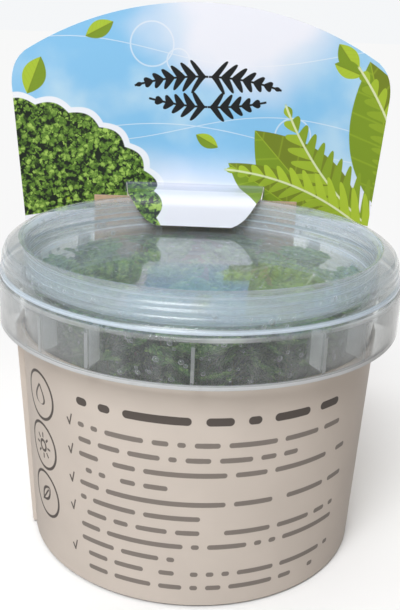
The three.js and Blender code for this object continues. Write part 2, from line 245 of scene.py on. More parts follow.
# %% Materials
class Finish:
    """A material that is being built: its node tree, with short names for what the recipes use."""

    def __init__(self, name):
        self.material = bpy.data.materials.new(name)
        self.material.use_nodes = True
        self.tree = self.material.node_tree
        self.tree.nodes.clear()
        self.output = self.tree.nodes.new("ShaderNodeOutputMaterial")

    def node(self, kind, **inputs):
        node = self.tree.nodes.new("ShaderNode" + kind)
        for name, value in inputs.items():
            feed(node.inputs[name.replace("_", " ")], value)
        return node

    def place(self, x, y, z=0.0):
        """A vector from fields or numbers."""
        return self.node("CombineXYZ", X=x, Y=y, Z=z).outputs[0]

    def axes(self, socket):
        """The three parts of a vector, in millimetres where the vector is in metres."""
        parts = self.node("SeparateXYZ", Vector=socket)
        return [Field(part) * (1 / MM) for part in parts.outputs]

    def object_axes(self):
        return self.axes(self.node("TexCoord").outputs["Object"])

    def card_axes(self):
        """Millimetres across and up a card, from its own map."""
        card_map = self.node("UVMap")
        card_map.uv_map = CARD_MAP
        return self.axes(card_map.outputs["UV"])[:2]

    def attribute(self, name):
        node = self.node("Attribute")
        node.attribute_name = name
        return Field(node.outputs["Fac"])

    def noise(self, where, scale, detail=2.0, roughness=0.5):
        node = self.node("TexNoise", Vector=where, Scale=scale, Detail=detail, Roughness=roughness)
        return Field(node.outputs["Fac"])

    def mix(self, factor, first, second):
        return mixed(self.tree, factor, first, second)

    def blend(self, factor, first, second):
        """A shader that turns from first to second."""
        node = self.tree.nodes.new("ShaderNodeMixShader")
        feed(node.inputs[0], factor)
        self.tree.links.new(first, node.inputs[1])
        self.tree.links.new(second, node.inputs[2])
        return node.outputs[0]

    def bump(self, height, strength, depth):
        """Normals tilted by a height field, whose full range stands for depth in millimetres."""
        node = self.node("Bump", Height=height, Strength=strength, Distance=depth * MM)
        return node.outputs[0]

    def done(self, shader):
        self.tree.links.new(shader, self.output.inputs["Surface"])
        return self.material


def linear(red, green, blue):
    """An sRGB colour, 0 to 255 a channel, as the linear values that shaders use."""
    channels = np.array([red, green, blue]) / 255
    toe = channels / 12.92
    body = ((channels + 0.055) / 1.055) ** 2.4
    return tuple(np.where(channels <= 0.04045, toe, body).tolist())


# %% [markdown]
# ## Shared dimensions
# The cup is a cone with a gentle taper, and nearly everything else is placed by it. The heights and radii
# here are those of the frame's own pieces, so that each dressed piece lies where its node lies.

# %% Driving dimensions, in millimetres
BASE_RADIUS = 43.3
WALL_FLARE = 0.0402
CUP_WALL = 0.7
CUP_FLOOR = 1.2
CORNER = 2.0
COLLAR_RADIUS = 52.0
COLLAR_WALL = 0.8
COLLAR_FOOT = 61.3
FLANGE_TOP = 73.3
FLANGE_THICKNESS = 1.0
BEAD_RADIUS = 49.2
BEAD_FOOT = 77.6
RIM_TOP = 80.0
SEAT = 0.3
PANEL_TOP = 72.0
PANEL_FOOT = 71.2
GEL_TOP = 14.0
SEGMENTS = 288
COLLAR_BORE = COLLAR_RADIUS - COLLAR_WALL
FLANGE_FOOT = FLANGE_TOP - FLANGE_THICKNESS


def wall_radius(z):
    """The radius of the cup's outer wall at a height."""
    return BASE_RADIUS + WALL_FLARE * z


def bore_radius(z):
    """The radius of the cup's inner wall at a height."""
    return wall_radius(z) - CUP_WALL


print("rim of the cup:", round(wall_radius(RIM_TOP), 2), "mm in radius")

# %% [markdown]
# ## The camera
# The camera comes first, because every judgement of shape and finish is made through it. It stands close
# and a little above the rim, where the eye of someone who picks a product from a shelf would be, and it is
# tipped very slightly.

# %% Camera
LONG_SIDE = 610
FOCAL_PIXELS = 880
SENSOR = 36.0
CAMERA_DISTANCE = 235.0
CAMERA_PITCH = math.radians(19.5)
CAMERA_ROLL = math.radians(2.16)
CAMERA_AIM = np.array([0.0, 0.0, 62.0])
CENTRE_SHIFT = (1.0, 1.3)


def add_camera():
    """Forward is tilted down by the pitch, and right and up are turned about it by the roll."""
    pitch_sin, pitch_cos = math.sin(CAMERA_PITCH), math.cos(CAMERA_PITCH)
    roll_sin, roll_cos = math.sin(CAMERA_ROLL), math.cos(CAMERA_ROLL)
    forward = np.array([0.0, pitch_cos, -pitch_sin])
    level = np.array([1.0, 0.0, 0.0])
    steep = np.array([0.0, pitch_sin, pitch_cos])
    right = level * roll_cos + steep * roll_sin
    up = steep * roll_cos - level * roll_sin
    data = bpy.data.cameras.new("camera")
    data.sensor_width = SENSOR
    data.lens = FOCAL_PIXELS / LONG_SIDE * SENSOR
    data.shift_x, data.shift_y = (offset / LONG_SIDE for offset in CENTRE_SHIFT)
    data.clip_start = 0.01
    camera = bpy.data.objects.new("camera", data)
    place = (CAMERA_AIM - forward * CAMERA_DISTANCE) * MM
    axes = np.column_stack([right, up, -forward, place])
    camera.matrix_world = Matrix([*axes.tolist(), [0, 0, 0, 1]])
    bpy.context.scene.collection.objects.link(camera)
    bpy.context.scene.camera = camera
    print("camera at", np.round(place, 4).tolist(), "m, lens", round(data.lens, 2), "mm")


add_camera()

# %% [markdown]
# ## The floor and the light
# A plain pale floor, a bright room and large soft lamps give clear plastic what it needs most: something
# bright and broad to mirror. The main lamp stands high in front, a little to the left, and a weaker one
# hangs above. A white wall behind the object shines through the plastic and shows its thickness.

# %% Floor
FLOOR_HALF = 3000.0
FLOOR_DROP = 0.1
PAPER_GREY = (0.92, 0.92, 0.92)
PAPER_WHITE = 0.94
PAPER_FADE = (62, 190)
TABLE_GREY = 0.32
COOL_TABLE = (0.96, 0.98, 1.0)
TABLE_FADE = (20, 160)
WARM_TABLE = (0.62, 0.57, 0.53)


def light_path(tree, name):
    """1 for the rays of one kind, and 0 for all others."""
    return Field(tree.nodes.new("ShaderNodeLightPath").outputs[name])


def add_floor():
    """Pale matt paper that turns, away from the object, into an even white that lights nothing itself.
    The light that it throws back is that of the duller, warmer table round it, and so is its mirror image
    in front of the object."""
    corners = np.array([[-1, -1, 0], [1, -1, 0], [1, 1, 0], [-1, 1, 0]]) * FLOOR_HALF
    corners[:, 2] = -FLOOR_DROP
    floor = make_piece("floor", corners, [np.array([[0, 1, 2, 3]])], smooth=False)
    finish = Finish("pale_floor")
    x, y, _ = finish.object_axes()
    paper = finish.node("BsdfPrincipled", Base_Color=PAPER_GREY, Roughness=0.8).outputs[0]
    white = finish.node("Emission", Color=(1, 1, 1), Strength=PAPER_WHITE).outputs[0]
    table = finish.node("Emission", Color=COOL_TABLE, Strength=TABLE_GREY).outputs[0]
    far = ramp(distance(x, y), *PAPER_FADE)
    seen = finish.blend(far * light_path(finish.tree, "Is Camera Ray"), paper, white)
    bounced = finish.node("BsdfDiffuse", Color=WARM_TABLE).outputs[0]
    seen = finish.blend(light_path(finish.tree, "Is Diffuse Ray"), seen, bounced)
    mirrored = finish.blend(ramp(y, *TABLE_FADE), table, white)
    shader = finish.blend(light_path(finish.tree, "Is Glossy Ray"), seen, mirrored)
    floor.data.materials.append(finish.done(shader))
    print("floor:", round(2 * FLOOR_HALF * MM), "m wide,", FLOOR_DROP, "mm below the cup")


add_floor()

# %% Light
LAMPS = (
    ("key_lamp", 8.2, 0.44, (-0.20, -0.64, 0.76), (0, 0, 0.06), (0.97, 0.985, 1.0)),
    ("top_lamp", 1.4, 0.6, (-0.1, 0.05, 0.95), (0, 0, 0.07), (0.93, 0.965, 1.0)),
)
ROOM_LOW, ROOM_RANGE = 0.05, 0.38
WALL_BEHIND = 0.80
WARM_ROOM = (1.0, 0.96, 0.92)
COOL_SCREEN = (0.97, 0.985, 1.0)


def add_lamp(name, watts, size, place, target, colour):
    """A square lamp of one side length, all in metres, that looks at a target."""
    data = bpy.data.lights.new(name, "AREA")
    data.energy, data.size, data.color = watts, size, colour
    lamp = bpy.data.objects.new(name, data)
    towards = np.array(target) - np.array(place)
    back = -towards / np.linalg.norm(towards)
    right = np.cross([0, 0, 1], back)
    right /= np.linalg.norm(right)
    axes = np.column_stack([right, np.cross(back, right), back, place])
    lamp.matrix_world = Matrix([*axes.tolist(), [0, 0, 0, 1]])
    bpy.context.scene.collection.objects.link(lamp)
    print(name, watts, "W at", place, "m")


def studio_world():
    """A room that is brightest above and at the left, with a white wall behind the object: its strength
    rises with the part of a direction that points there. The camera itself sees plain white."""
    world = bpy.data.worlds.new("studio")
    world.use_nodes = True
    tree = world.node_tree
    parts = tree.nodes.new("ShaderNodeSeparateXYZ")
    tree.links.new(tree.nodes.new("ShaderNodeTexCoord").outputs["Generated"], parts.inputs[0])
    x, y, z = (Field(part) for part in parts.outputs)
    room = ramp(z * 0.9 - x * 0.5 - y * 0.35, -0.5, 1.1) * ROOM_RANGE + ROOM_LOW
    room = room.high(ramp(y, 0.0, 0.5) * WALL_BEHIND)
    seen = light_path(tree, "Is Camera Ray")
    background = tree.nodes["Background"]
    feed(background.inputs["Color"], mixed(tree, seen, WARM_ROOM, COOL_SCREEN))
    feed(background.inputs["Strength"], room + seen * (PAPER_WHITE - room))
    return world


def add_light():
    """The lamps and the room, and bounces enough for many walls of clear plastic one behind another."""
    for lamp in LAMPS:
        add_lamp(*lamp)
    scene = bpy.context.scene
    scene.world = studio_world()
    scene.view_settings.view_transform = "Standard"
    scene.cycles.transparent_max_bounces = 48
    scene.cycles.max_bounces = 16


add_light()

# %% [markdown]
# ## Turned pieces
# The cup and the lid are bodies of revolution. A profile of corners gives the section, and each corner is
# cut back and replaced by a short curve, because moulded plastic has no knife edges.

# %% Profiles and turning
CURVE_STEPS = 4


def softened(corners):
    """A path through (radius, height, cut) corners. A corner is cut back along both of its sides, by at
    most 45% of the shorter one, and a quadratic curve with its control point on the corner joins them."""
    points = np.array([corner[:2] for corner in corners], float)
    path = [points[0]]
    for before, here, after, (_, _, cut) in zip(points, points[1:], points[2:], corners[1:-1]):
        sides = [before - here, after - here]
        lengths = [np.linalg.norm(side) for side in sides]
        reach = min(cut, 0.45 * min(lengths))
        start, end = (here + side / length * reach for side, length in zip(sides, lengths))
        t = np.linspace(0, 1, CURVE_STEPS + 1)[:, None] if reach > 0 else np.zeros((1, 1))
        path.extend((1 - t) ** 2 * start + 2 * t * (1 - t) * here + t**2 * end)
    return np.array([*path, points[-1]])


def turn_profile(path, segments=SEGMENTS):
    """Carries a path of (r, z) that starts and ends on the axis round Z: each point becomes a circle,
    at (r sin t, -r cos t, z), and each end a single point joined to its circle by triangles."""
    t = np.linspace(0, 2 * math.pi, segments, endpoint=False)
    radius, height = path[1:-1].T
    ring = np.stack([np.outer(np.sin(t), radius), -np.outer(np.cos(t), radius)], -1)
    heights = np.broadcast_to(height, ring.shape[:2])[..., None]
    points = np.concatenate([ring, heights], -1).reshape(-1, 3)
    rows = len(radius)
    quads = lattice_faces(segments, rows, closed=True)
    column = np.arange(segments)
    after = (column + 1) % segments
    first, last = len(points), len(points) + 1
    foot = np.stack([after * rows, column * rows, np.full(segments, first)], -1)
    head = np.stack([column * rows + rows - 1, after * rows + rows - 1, np.full(segments, last)], -1)
    poles = [[0, 0, path[0][1]], [0, 0, path[-1][1]]]
    return np.concatenate([points, poles]), [quads, foot, head]


# %% [markdown]
# ## Clear plastic
# The tub is polypropylene. It is never as clear as glass: it scatters a little light, so what stands
# behind it looks pale and soft, and it mirrors the room at a glancing angle. Three shares say this: one
# lets the view straight through, one is a milky white for the scattered light, and one is the gloss.
# The mirrored share follows Schlick's rule, and the milky share grows towards the edges of a wall, where
# the view runs through more of it. Straight-through light keeps the leaves behind it well lit.

# %% Clear plastic
CLEAR_TINT = linear(253, 254, 254)
EDGE_TINT = linear(224, 225, 222)
WATER_MILK = linear(238, 243, 247)
RIPPLE_SCALE = 0.16
CLOUD_SCALE = 0.35
BACKLIT_SHARE = 0.35
MOST_MILK = 0.95


def varied(value, *where):
    """A value that is the same all over, or what a function gives for the place."""
    return value(*where) if callable(value) else value


def clear_plastic(name, milk, share, edge, mirror, roughness, ripple, bare=1):
    """Schlick's rule gives the mirrored share: mirror + (1 - mirror) (1 - cos)^5. The milky share is
    share plus edge times (1 - cos)^2, and milk is its colour. ripple is the height of the wall's
    unevenness in millimetres. bare is the share of the surface that borders on air and not on plastic."""
    finish = Finish(name)
    x, y, z = finish.object_axes()
    place = finish.place(x, y, z)
    normal = finish.bump(finish.noise(place, RIPPLE_SCALE, detail=3), 1.0, ripple)
    facing = Field(finish.node("LayerWeight", Blend=0.5, Normal=normal).outputs["Facing"])
    airy = varied(bare, x, y, z)
    mirrored = (facing**5 * (1 - mirror) + mirror) * airy
    cloud = finish.noise(place, CLOUD_SCALE, detail=4, roughness=0.6)
    milky = facing**2 * varied(edge, x, y, z) + varied(share, finish, x, y, z)
    milky = milky * (cloud * 0.5 + 0.75)
    through = finish.node("BsdfTransparent", Color=finish.mix(facing**3 * airy, CLEAR_TINT, EDGE_TINT))
    lit = finish.node("BsdfDiffuse", Color=milk, Normal=normal)
    backlit = finish.node("BsdfTranslucent", Color=milk, Normal=normal)
    roughness = varied(roughness, x, y, z)
    gloss = finish.node("BsdfGlossy", Color=(1, 1, 1), Roughness=roughness, Normal=normal)
    scattered = finish.blend(BACKLIT_SHARE, lit.outputs[0], backlit.outputs[0])
    wall = finish.blend(milky.low(MOST_MILK), through.outputs[0], scattered)
    return finish.done(finish.blend(mirrored, wall, gloss.outputs[0]))


# %% [markdown]
# ## The cup
# The tub is one moulding: a tapered wall, a bead that the lid snaps over, and an outer collar that hangs
# from a flange below the bead and makes the tub show whether it was opened. Thin ribs tie the collar to
# the wall. They are plain plates, so they are worked out as boxes and set round the wall by their angles.

# %% Cup
RIB_ANGLES = (-44, -28, -1, 33, 48, 76, 106, 136, 166, 196, 226, 256, 286)
RIB_THICKNESS = 0.8
RIB_FOOT = 63.5
RIB_BITE = 0.35
RIB_SLOPE = 1.0
RIB_MIDDLE = 48.8
RIB_HEIGHT = 67.5
CUP_MILK = linear(219, 222, 225)


def cup_profile():
    """Along the underside, up the wall, round the collar and the bead, and down the inside."""
    return softened([
        (0, 0.5, 0),
        (BASE_RADIUS - 5.5, 0.5, 0.6),
        (BASE_RADIUS - 4.6, 0, 0.5),
        (BASE_RADIUS - CORNER, 0, 0.8),
        (BASE_RADIUS - CORNER / 4, CORNER / 3, 0.8),
        (wall_radius(CORNER), CORNER, 1.0),
        (wall_radius(FLANGE_FOOT), FLANGE_FOOT, 0.4),
        (COLLAR_BORE, FLANGE_FOOT, 0.4),
        (COLLAR_BORE, COLLAR_FOOT, 0.25),
        (COLLAR_RADIUS, COLLAR_FOOT, 0.25),
        (COLLAR_RADIUS, FLANGE_TOP, 0.5),
        (wall_radius(FLANGE_TOP), FLANGE_TOP, 0.3),
        (wall_radius(BEAD_FOOT), BEAD_FOOT, 0.3),
        (BEAD_RADIUS, BEAD_FOOT, 0.3),
        (BEAD_RADIUS, RIM_TOP, 0.6),
        (bore_radius(RIM_TOP), RIM_TOP, 0.3),
        (bore_radius(CUP_FLOOR + CORNER), CUP_FLOOR + CORNER, 1.2),
        (bore_radius(CUP_FLOOR) - CORNER, CUP_FLOOR, 1.2),
        (0, CUP_FLOOR, 0),
    ])


def rib_plate(degrees):
    """A box from just inside the wall to just inside the collar, with its foot lower at the collar,
    turned to its angle. Its eight corners are the ways to choose 0 or 1 for side, depth and height."""
    inner, outer = wall_radius(RIB_FOOT) - RIB_BITE, COLLAR_BORE + RIB_BITE
    top = FLANGE_FOOT + RIB_BITE
    side, out, above = np.indices((2, 2, 2)).reshape(3, -1)
    across = (side - 0.5) * RIB_THICKNESS
    radius = inner + out * (outer - inner)
    height = RIB_FOOT + above * (top - RIB_FOOT) - out * (1 - above) * RIB_SLOPE
    a = math.radians(degrees)
    x = radius * math.sin(a) + across * math.cos(a)
    y = -radius * math.cos(a) + across * math.sin(a)
    sides = [[0, 1, 3, 2], [4, 6, 7, 5], [0, 4, 5, 1], [2, 3, 7, 6], [0, 2, 6, 4], [1, 5, 7, 3]]
    return np.stack([x, y, height], -1), [np.array(sides)]


def fogged_wall(finish, x, y, z):
    """Thin haze with patches of fog on the wall, more of it in the ribs between wall and collar, and a
    milky edge where the collar is cut off, where the flange turns into it and where a rib meets it."""
    radius = distance(x, y)
    fog = finish.noise(finish.place(x, y, z * 0.4), 0.22, detail=3)
    slow = finish.noise(finish.place(x, y), 0.035, detail=2)
    patches = ramp(fog, 0.42, 0.75) * 0.08 + 0.030
    below_lid = 1 - ramp(z, FLANGE_TOP - 0.2, FLANGE_TOP + 0.2)
    ribs = band(radius - RIB_MIDDLE, 2.0, 0.4) * band(z - RIB_HEIGHT, 4.5, 0.4)
    roots = band(radius - COLLAR_BORE - RIB_BITE, 0.10, 0.06) * band(z - RIB_HEIGHT + 0.5, 4.2, 0.5)
    hem = band(z - COLLAR_FOOT, 1.0, 0.5) * ramp(radius, COLLAR_BORE - 0.7, COLLAR_BORE - 0.2)
    flange = band(z - FLANGE_TOP + 0.4, 0.6, 0.4) * ramp(radius, COLLAR_BORE + 0.1, COLLAR_RADIUS - 0.1)
    turns = flange * (ramp(slow, 0.35, 0.65) * 0.45 + 0.2)
    return patches * below_lid + ribs * 0.42 + roots * 0.36 + hem * 0.9 + turns


def side_haze(x, y, z):
    """The wall and the collar turn hazy towards their outlines, and the flange above them stays clear."""
    return 0.90 - ramp(z, FLANGE_FOOT - 0.4, FLANGE_FOOT) * 0.84


def under_air(x, y, z):
    """The bead lies against the lid, and plastic against plastic hardly mirrors."""
    return 1 - ramp(z, FLANGE_TOP + 0.2, FLANGE_TOP + 0.8) * 0.8


def add_cup():
    points, faces = joined(turn_profile(cup_profile()), *(rib_plate(angle) for angle in RIB_ANGLES))
    cup = make_piece("culture_cup", points, faces)
    cup.data.set_sharp_from_angle(angle=math.radians(50))
    plastic = clear_plastic(
        "frosted_cup_plastic", CUP_MILK, fogged_wall, side_haze,
        mirror=0.02, roughness=0.12, ripple=0.03, bare=under_air,
    )
    dress(cup, plastic, "cup", "cup")


add_cup()

# %% [markdown]
# ## The lid
# The lid is a hollow ring that snaps over the cup's bead, with a flat panel sunk inside it. The ring's
# outside carries fine ridges for grip, which catch the light as bright lines. The panel is the glossiest
# surface of the whole object: it mirrors the header card that stands behind it.

# %% Lid
LID_WALL = 0.7
LID_FOOT = 73.7
LID_FOOT_RADIUS = 51.5
LID_CREST = 82.1
LID_CREST_RADIUS = 46.4
LID_SHOULDER_RADIUS = 50.2
LID_SHOULDER = 79.5
LID_RECESS_RADIUS = 44.5
PANEL_RADIUS = 41.3
RIDGE = 0.3
RECESS_LINE = 74.6
RECESS_PITCH = 2.05
LID_MILK = linear(218, 229, 240)


def lid_profile():
    """Along the panel's underside, down the inside of the ring, round its foot, up the ridged outside,
    over the crest, and down the recess to the panel."""
    recess_top = LID_RECESS_RADIUS + WALL_FLARE * (LID_CREST - PANEL_TOP)
    return softened([
        (0, PANEL_FOOT, 0),
        (PANEL_RADIUS + 0.4, PANEL_FOOT, 0.8),
        (LID_RECESS_RADIUS - 0.2, PANEL_TOP, 0.6),
        (LID_RECESS_RADIUS + LID_WALL, PANEL_TOP + 2, 0.8),
        (recess_top + LID_WALL, RIM_TOP + SEAT, 0.5),
        (BEAD_RADIUS - 0.6, RIM_TOP + SEAT, 0.4),
        (BEAD_RADIUS + SEAT, RIM_TOP - 0.6, 0.4),
        (LID_FOOT_RADIUS - LID_WALL - 0.5, LID_FOOT + 1.3, 0.6),
        (LID_FOOT_RADIUS - LID_WALL, LID_FOOT, 0.2),
        (LID_FOOT_RADIUS, LID_FOOT, 0.25),
        (LID_FOOT_RADIUS, LID_FOOT + 0.7, 0.3),
        (LID_FOOT_RADIUS - 0.6, LID_FOOT + 1.3, 0.4),
        (LID_SHOULDER_RADIUS + 0.55, LID_FOOT + 2.4, 0.3),
        (LID_SHOULDER_RADIUS + 0.55 + RIDGE, LID_SHOULDER - 2.6, 0.3),
        (LID_SHOULDER_RADIUS + 0.45, LID_SHOULDER - 2.1, 0.3),
        (LID_SHOULDER_RADIUS + 0.3 + RIDGE, LID_SHOULDER - 1.0, 0.3),
        (LID_SHOULDER_RADIUS + 0.1, LID_SHOULDER - 0.5, 0.3),
        (LID_SHOULDER_RADIUS, LID_SHOULDER + 0.3, 0.4),
        (LID_SHOULDER_RADIUS - 0.9, LID_CREST - 1.3, 0.6),
        (LID_CREST_RADIUS + 1.4, LID_CREST - 0.3, 0.9),
        (LID_CREST_RADIUS, LID_CREST, 0.7),
        (recess_top, LID_CREST - 1.1, 0.5),
        (LID_RECESS_RADIUS + 0.2, PANEL_TOP + 6, 0.3),
        (LID_RECESS_RADIUS, PANEL_TOP + 2, 0.8),
        (LID_RECESS_RADIUS - 0.9, PANEL_TOP + 0.6, 0.6),
        (PANEL_RADIUS, PANEL_TOP, 0.6),
        (0, PANEL_TOP, 0),
    ])


def lid_milk(finish, x, y, z):
    """A breath of fog under the panel, haze in the wall of the recess and on the ring's shoulder, clear
    plastic over the crest and low on the ring, and milky lines at the ring's foot and round the recess."""
    radius = distance(x, y)
    breath = finish.noise(finish.place(x, y), 0.12, detail=4, roughness=0.6)
    streak = finish.noise(finish.place(radius * 1.1, angle_of(y, x) * 1.2, z * 1.6), 0.9, detail=1)
    panel = (1 - ramp(radius, PANEL_RADIUS, LID_RECESS_RADIUS)) * (ramp(breath, 0.35, 0.7) * 0.09 + 0.05)
    recess = band(radius - 44.8, 1.2, 0.6) * 0.24
    depth = ((z - RECESS_LINE) / RECESS_PITCH).fraction() - 0.5
    lines = band(depth, 0.07, 0.10) * band(radius - 44.9, 0.9, 0.3)
    outside = ramp(radius, LID_SHOULDER_RADIUS - 2.2, LID_SHOULDER_RADIUS - 0.4)
    below = ramp(z, LID_SHOULDER - 3.9, LID_SHOULDER - 2.9)
    shoulder = below * (1 - ramp(z, LID_SHOULDER, LID_SHOULDER + 1.4))
    crest = band(radius - LID_CREST_RADIUS - 1, 2.6, 1.2) * ramp(z, LID_CREST - 2.2, LID_CREST - 1.4)
    hem = (1 - ramp(z, LID_FOOT + 0.5, LID_FOOT + 1.1)) * outside
    ring = outside * shoulder * (streak * 0.26 + 0.02) + crest * (streak * 0.10 + 0.01)
    return panel + recess + lines * 0.3 + ring + hem * 0.8 + 0.02


def ring_gloss(x, y, z):
    """The panel is a clear mirror, and the ring round it has the duller gloss of a brushed mould."""
    return ramp(distance(x, y), 43, 46) * 0.20 + 0.05


def ring_air(x, y, z):
    """The inside of the hollow ring lies against the bead, and mirrors as little as the bead."""
    inner = band(distance(x, y) - 47.5, 2.3, 0.2) * (1 - ramp(z, RIM_TOP + 0.45, RIM_TOP + 0.7))
    return 1 - inner * 0.8


def add_lid():
    points, faces = turn_profile(lid_profile())
    lid = make_piece("snap_lid", points, faces)
    lid.data.set_sharp_from_angle(angle=math.radians(60))
    plastic = clear_plastic(
        "glossy_lid_plastic", LID_MILK, lid_milk, edge=0.09,
        mirror=0.04, roughness=ring_gloss, ripple=0.006, bare=ring_air,
    )
    dress(lid, plastic, "lid", "lid")


add_lid()

# %% [markdown]
# ## Condensation
# The air in the cup is moist, so fine drops sit on the inside of the wall and under the lid. A drop is a
# low dome with a flat base: two rings of a few points, worked out once and copied to every place.

# %% Drops
DROP_SIDES = 8
DROP_RINGS = ((1.0, 0.0), (0.72, 0.36))
DROP_HEIGHT = 0.52
DROP_SINK = 0.03
DROP_SEED = 7
WALL_DROPS = 900
WALL_DROP_SPAN = (GEL_TOP + 46, 77)
LID_DROPS = 160


def drop_shape():
    """A unit dome along +Z: the base's centre, two rings of DROP_SIDES points, and the top."""
    t = np.linspace(0, 2 * math.pi, DROP_SIDES, endpoint=False)
    rings = [np.stack([r * np.cos(t), r * np.sin(t), np.full(DROP_SIDES, h)], -1) for r, h in DROP_RINGS]
    points = np.concatenate([[[0, 0, 0]], *rings, [[0, 0, DROP_HEIGHT]]])
    k = np.arange(DROP_SIDES)
    after = (k + 1) % DROP_SIDES
    base = np.stack([after + 1, k + 1, np.zeros_like(k)], -1)
    side = np.stack([k + 1, after + 1, after + 1 + DROP_SIDES, k + 1 + DROP_SIDES], -1)
    top = np.stack([k + 1 + DROP_SIDES, after + 1 + DROP_SIDES, np.full_like(k, 2 * DROP_SIDES + 1)], -1)
    return points, [side, base, top]


def drops_at(places, normals, sizes):
    """The dome copied to each place, standing along its normal, with its base sunk in a little."""
    across = unit(np.cross(normals, [0.12, 0.31, 0.94]))
    axes = np.stack([across, np.cross(normals, across), normals], 1)
    return copies(*drop_shape(), places - normals * DROP_SINK, axes, sizes)


def add_drops():
    """Drops gather in patches: of many seeded draws, those are kept whose place lies high on a wave,
    sin(9 turn + 2 sin(z / 2)). Most drops are small, as their sizes follow the square of an even draw."""
    random = np.random.default_rng(DROP_SEED)
    turn = random.uniform(0, 2 * math.pi, WALL_DROPS)
    z = random.uniform(*WALL_DROP_SPAN, WALL_DROPS)
    kept = np.sin(turn * 9 + np.sin(z * 0.5) * 2) + random.uniform(-1.2, 1.2, WALL_DROPS) > -0.2
    turn, z = turn[kept], z[kept]
    inward = np.stack([-np.sin(turn), np.cos(turn), np.zeros_like(turn)], -1)
    wall = -inward * bore_radius(z)[:, None] + np.array([0, 0, 1]) * z[:, None]
    wall_size = 0.22 + 0.62 * random.power(0.5, len(turn))
    radius = (PANEL_RADIUS - 1) * np.sqrt(random.uniform(0, 1, LID_DROPS))
    around = random.uniform(0, 2 * math.pi, LID_DROPS)
    level = np.full(LID_DROPS, PANEL_FOOT)
    under = np.stack([radius * np.cos(around), radius * np.sin(around), level], -1)
    down = np.tile([0.0, 0.0, -1.0], (LID_DROPS, 1))
    under_size = 0.2 + 0.5 * random.power(0.5, LID_DROPS)
    points, faces = joined(drops_at(wall, inward, wall_size), drops_at(under, down, under_size))
    drops = make_piece("condensation_drops", points, faces)
    water = dict(share=0.10, edge=1.4, mirror=0.06, roughness=0.04, ripple=0.0)
    dress(drops, clear_plastic("water_drops", WATER_MILK, **water), "cup")


add_drops()

# %% [markdown]
# ## Sheets of card
# The sleeve and the header are cut from board with a real thickness. Both are lattices that are placed
# twice, once for the back face and once for the front, and then closed along every edge. A mask says
# which cells of the lattice are there, and that is how the slits, the tab and the notch are cut.

# %% Card sheets
CARD_MAP = "card"


def card_sheet(back, front, present, across, up, closed=False):
    """Points and faces of a sheet from two arrays of points, columns by rows, and a mask of its cells.
    across and up are each lattice point's place on the flat card, which the card's own map keeps. An
    edge face closes the sheet wherever a cell has no neighbour."""
    columns, rows = back.shape[:2]
    number = np.arange(columns * rows).reshape(columns, rows)
    shift = columns * rows
    last = columns if closed else columns - 1
    i, j = (grid[present] for grid in np.meshgrid(np.arange(last), np.arange(rows - 1), indexing="ij"))
    right = (i + 1) % columns
    corners = np.stack([number[i, j], number[right, j], number[right, j + 1], number[i, j + 1]], -1)
    framed = np.zeros((last + 2, rows + 1), bool)
    framed[1:-1, 1:-1] = present
    if closed:
        framed[0, 1:-1], framed[-1, 1:-1] = present[-1], present[0]
    edges = []
    for k, (di, dj) in enumerate([(0, -1), (1, 0), (0, 1), (-1, 0)]):
        bare = ~framed[i + 1 + di, j + 1 + dj]
        first, second = corners[bare, k], corners[bare, (k + 1) % 4]
        edges.append(np.stack([first, second, second + shift, first + shift], -1))
    faces = np.concatenate([corners + shift, corners[:, ::-1], *edges])
    points = np.concatenate([back.reshape(-1, 3), front.reshape(-1, 3)])
    flat = np.tile(np.stack([across.ravel(), up.ravel()], -1), (2, 1))
    side = np.repeat([0.0, 1.0], shift)
    used, faces = np.unique(faces, return_inverse=True)
    return points[used], faces.reshape(-1, 4), flat[used], side[used]


def keep_values(piece, name, values):
    """A number for every point of a piece, which its material can read by name."""
    layer = piece.data.attributes.new(name, "FLOAT", "POINT")
    layer.data.foreach_set("value", values.astype(np.float32))


def make_card(name, sheet, seam=None):
    """A piece from a sheet, with its flat card places as a map and its printed side as an attribute. On
    a sheet that closes on itself, seam is the length that is added where a face crosses the join."""
    points, faces, flat, side = sheet
    piece = make_piece(name, points, [faces])
    order = np.zeros(len(faces) * 4, np.int32)
    piece.data.loops.foreach_get("vertex_index", order)
    places = flat[order].reshape(-1, 4, 2).copy()
    if seam:
        low = places[..., 0].min(1) < places[..., 0].max(1) - seam / 2
        places[low, :, 0] += np.where(places[low, :, 0] < 0, seam, 0)
    layer = piece.data.uv_layers.new(name=CARD_MAP)
    layer.data.foreach_set("uv", (places * MM).astype(np.float32).ravel())
    keep_values(piece, "printed_side", side)
    piece.data.set_sharp_from_angle(angle=math.radians(40))
    return piece


def smooth_step(value, low, high):
    """0 to 1 between low and high as 3 t^2 - 2 t^3."""
    t = np.clip((value - low) / (high - low), 0, 1)
    return t * t * (3 - 2 * t)


# %% [markdown]
# ## The sleeve
# The sleeve is one strip of board, glued to itself at the left, with a tab cut from it at the back. The
# tab leaves the cone of the wall and stands up flat behind the lid. Its shape is a mix of the two forms:
# a point on the cone and a point on a flat upright plane, blended as the height grows. The free end of
# the strip lies over the other end, and its edge stands away from the wall a little.

# %% Sleeve
CARD = 0.6
SLEEVE_FOOT = 0.6
SLEEVE_TOP = 59.5
LAP_ANGLE = -77.0
LAP_WIDTH = 18.0
LAP_EDGE = 0.5
LAP_CURL = 0.9
TAB_WIDTH = 64.0
TAB_CENTRE = -2.4
TAB_ROOT = 30.0
TAB_STRAIGHT = 61.5
TAB_TOP = 79.6
TAB_FRONT = COLLAR_RADIUS + SEAT + 0.05
TAB_COLUMNS, BELT_COLUMNS = 49, 241
SLIT = 1.2
MAP_RADIUS = wall_radius(TAB_ROOT)
TAB_HALF_ANGLE = math.degrees(TAB_WIDTH / 2 / MAP_RADIUS)
TAB_ANGLE = 180 - math.degrees(TAB_CENTRE / MAP_RADIUS)


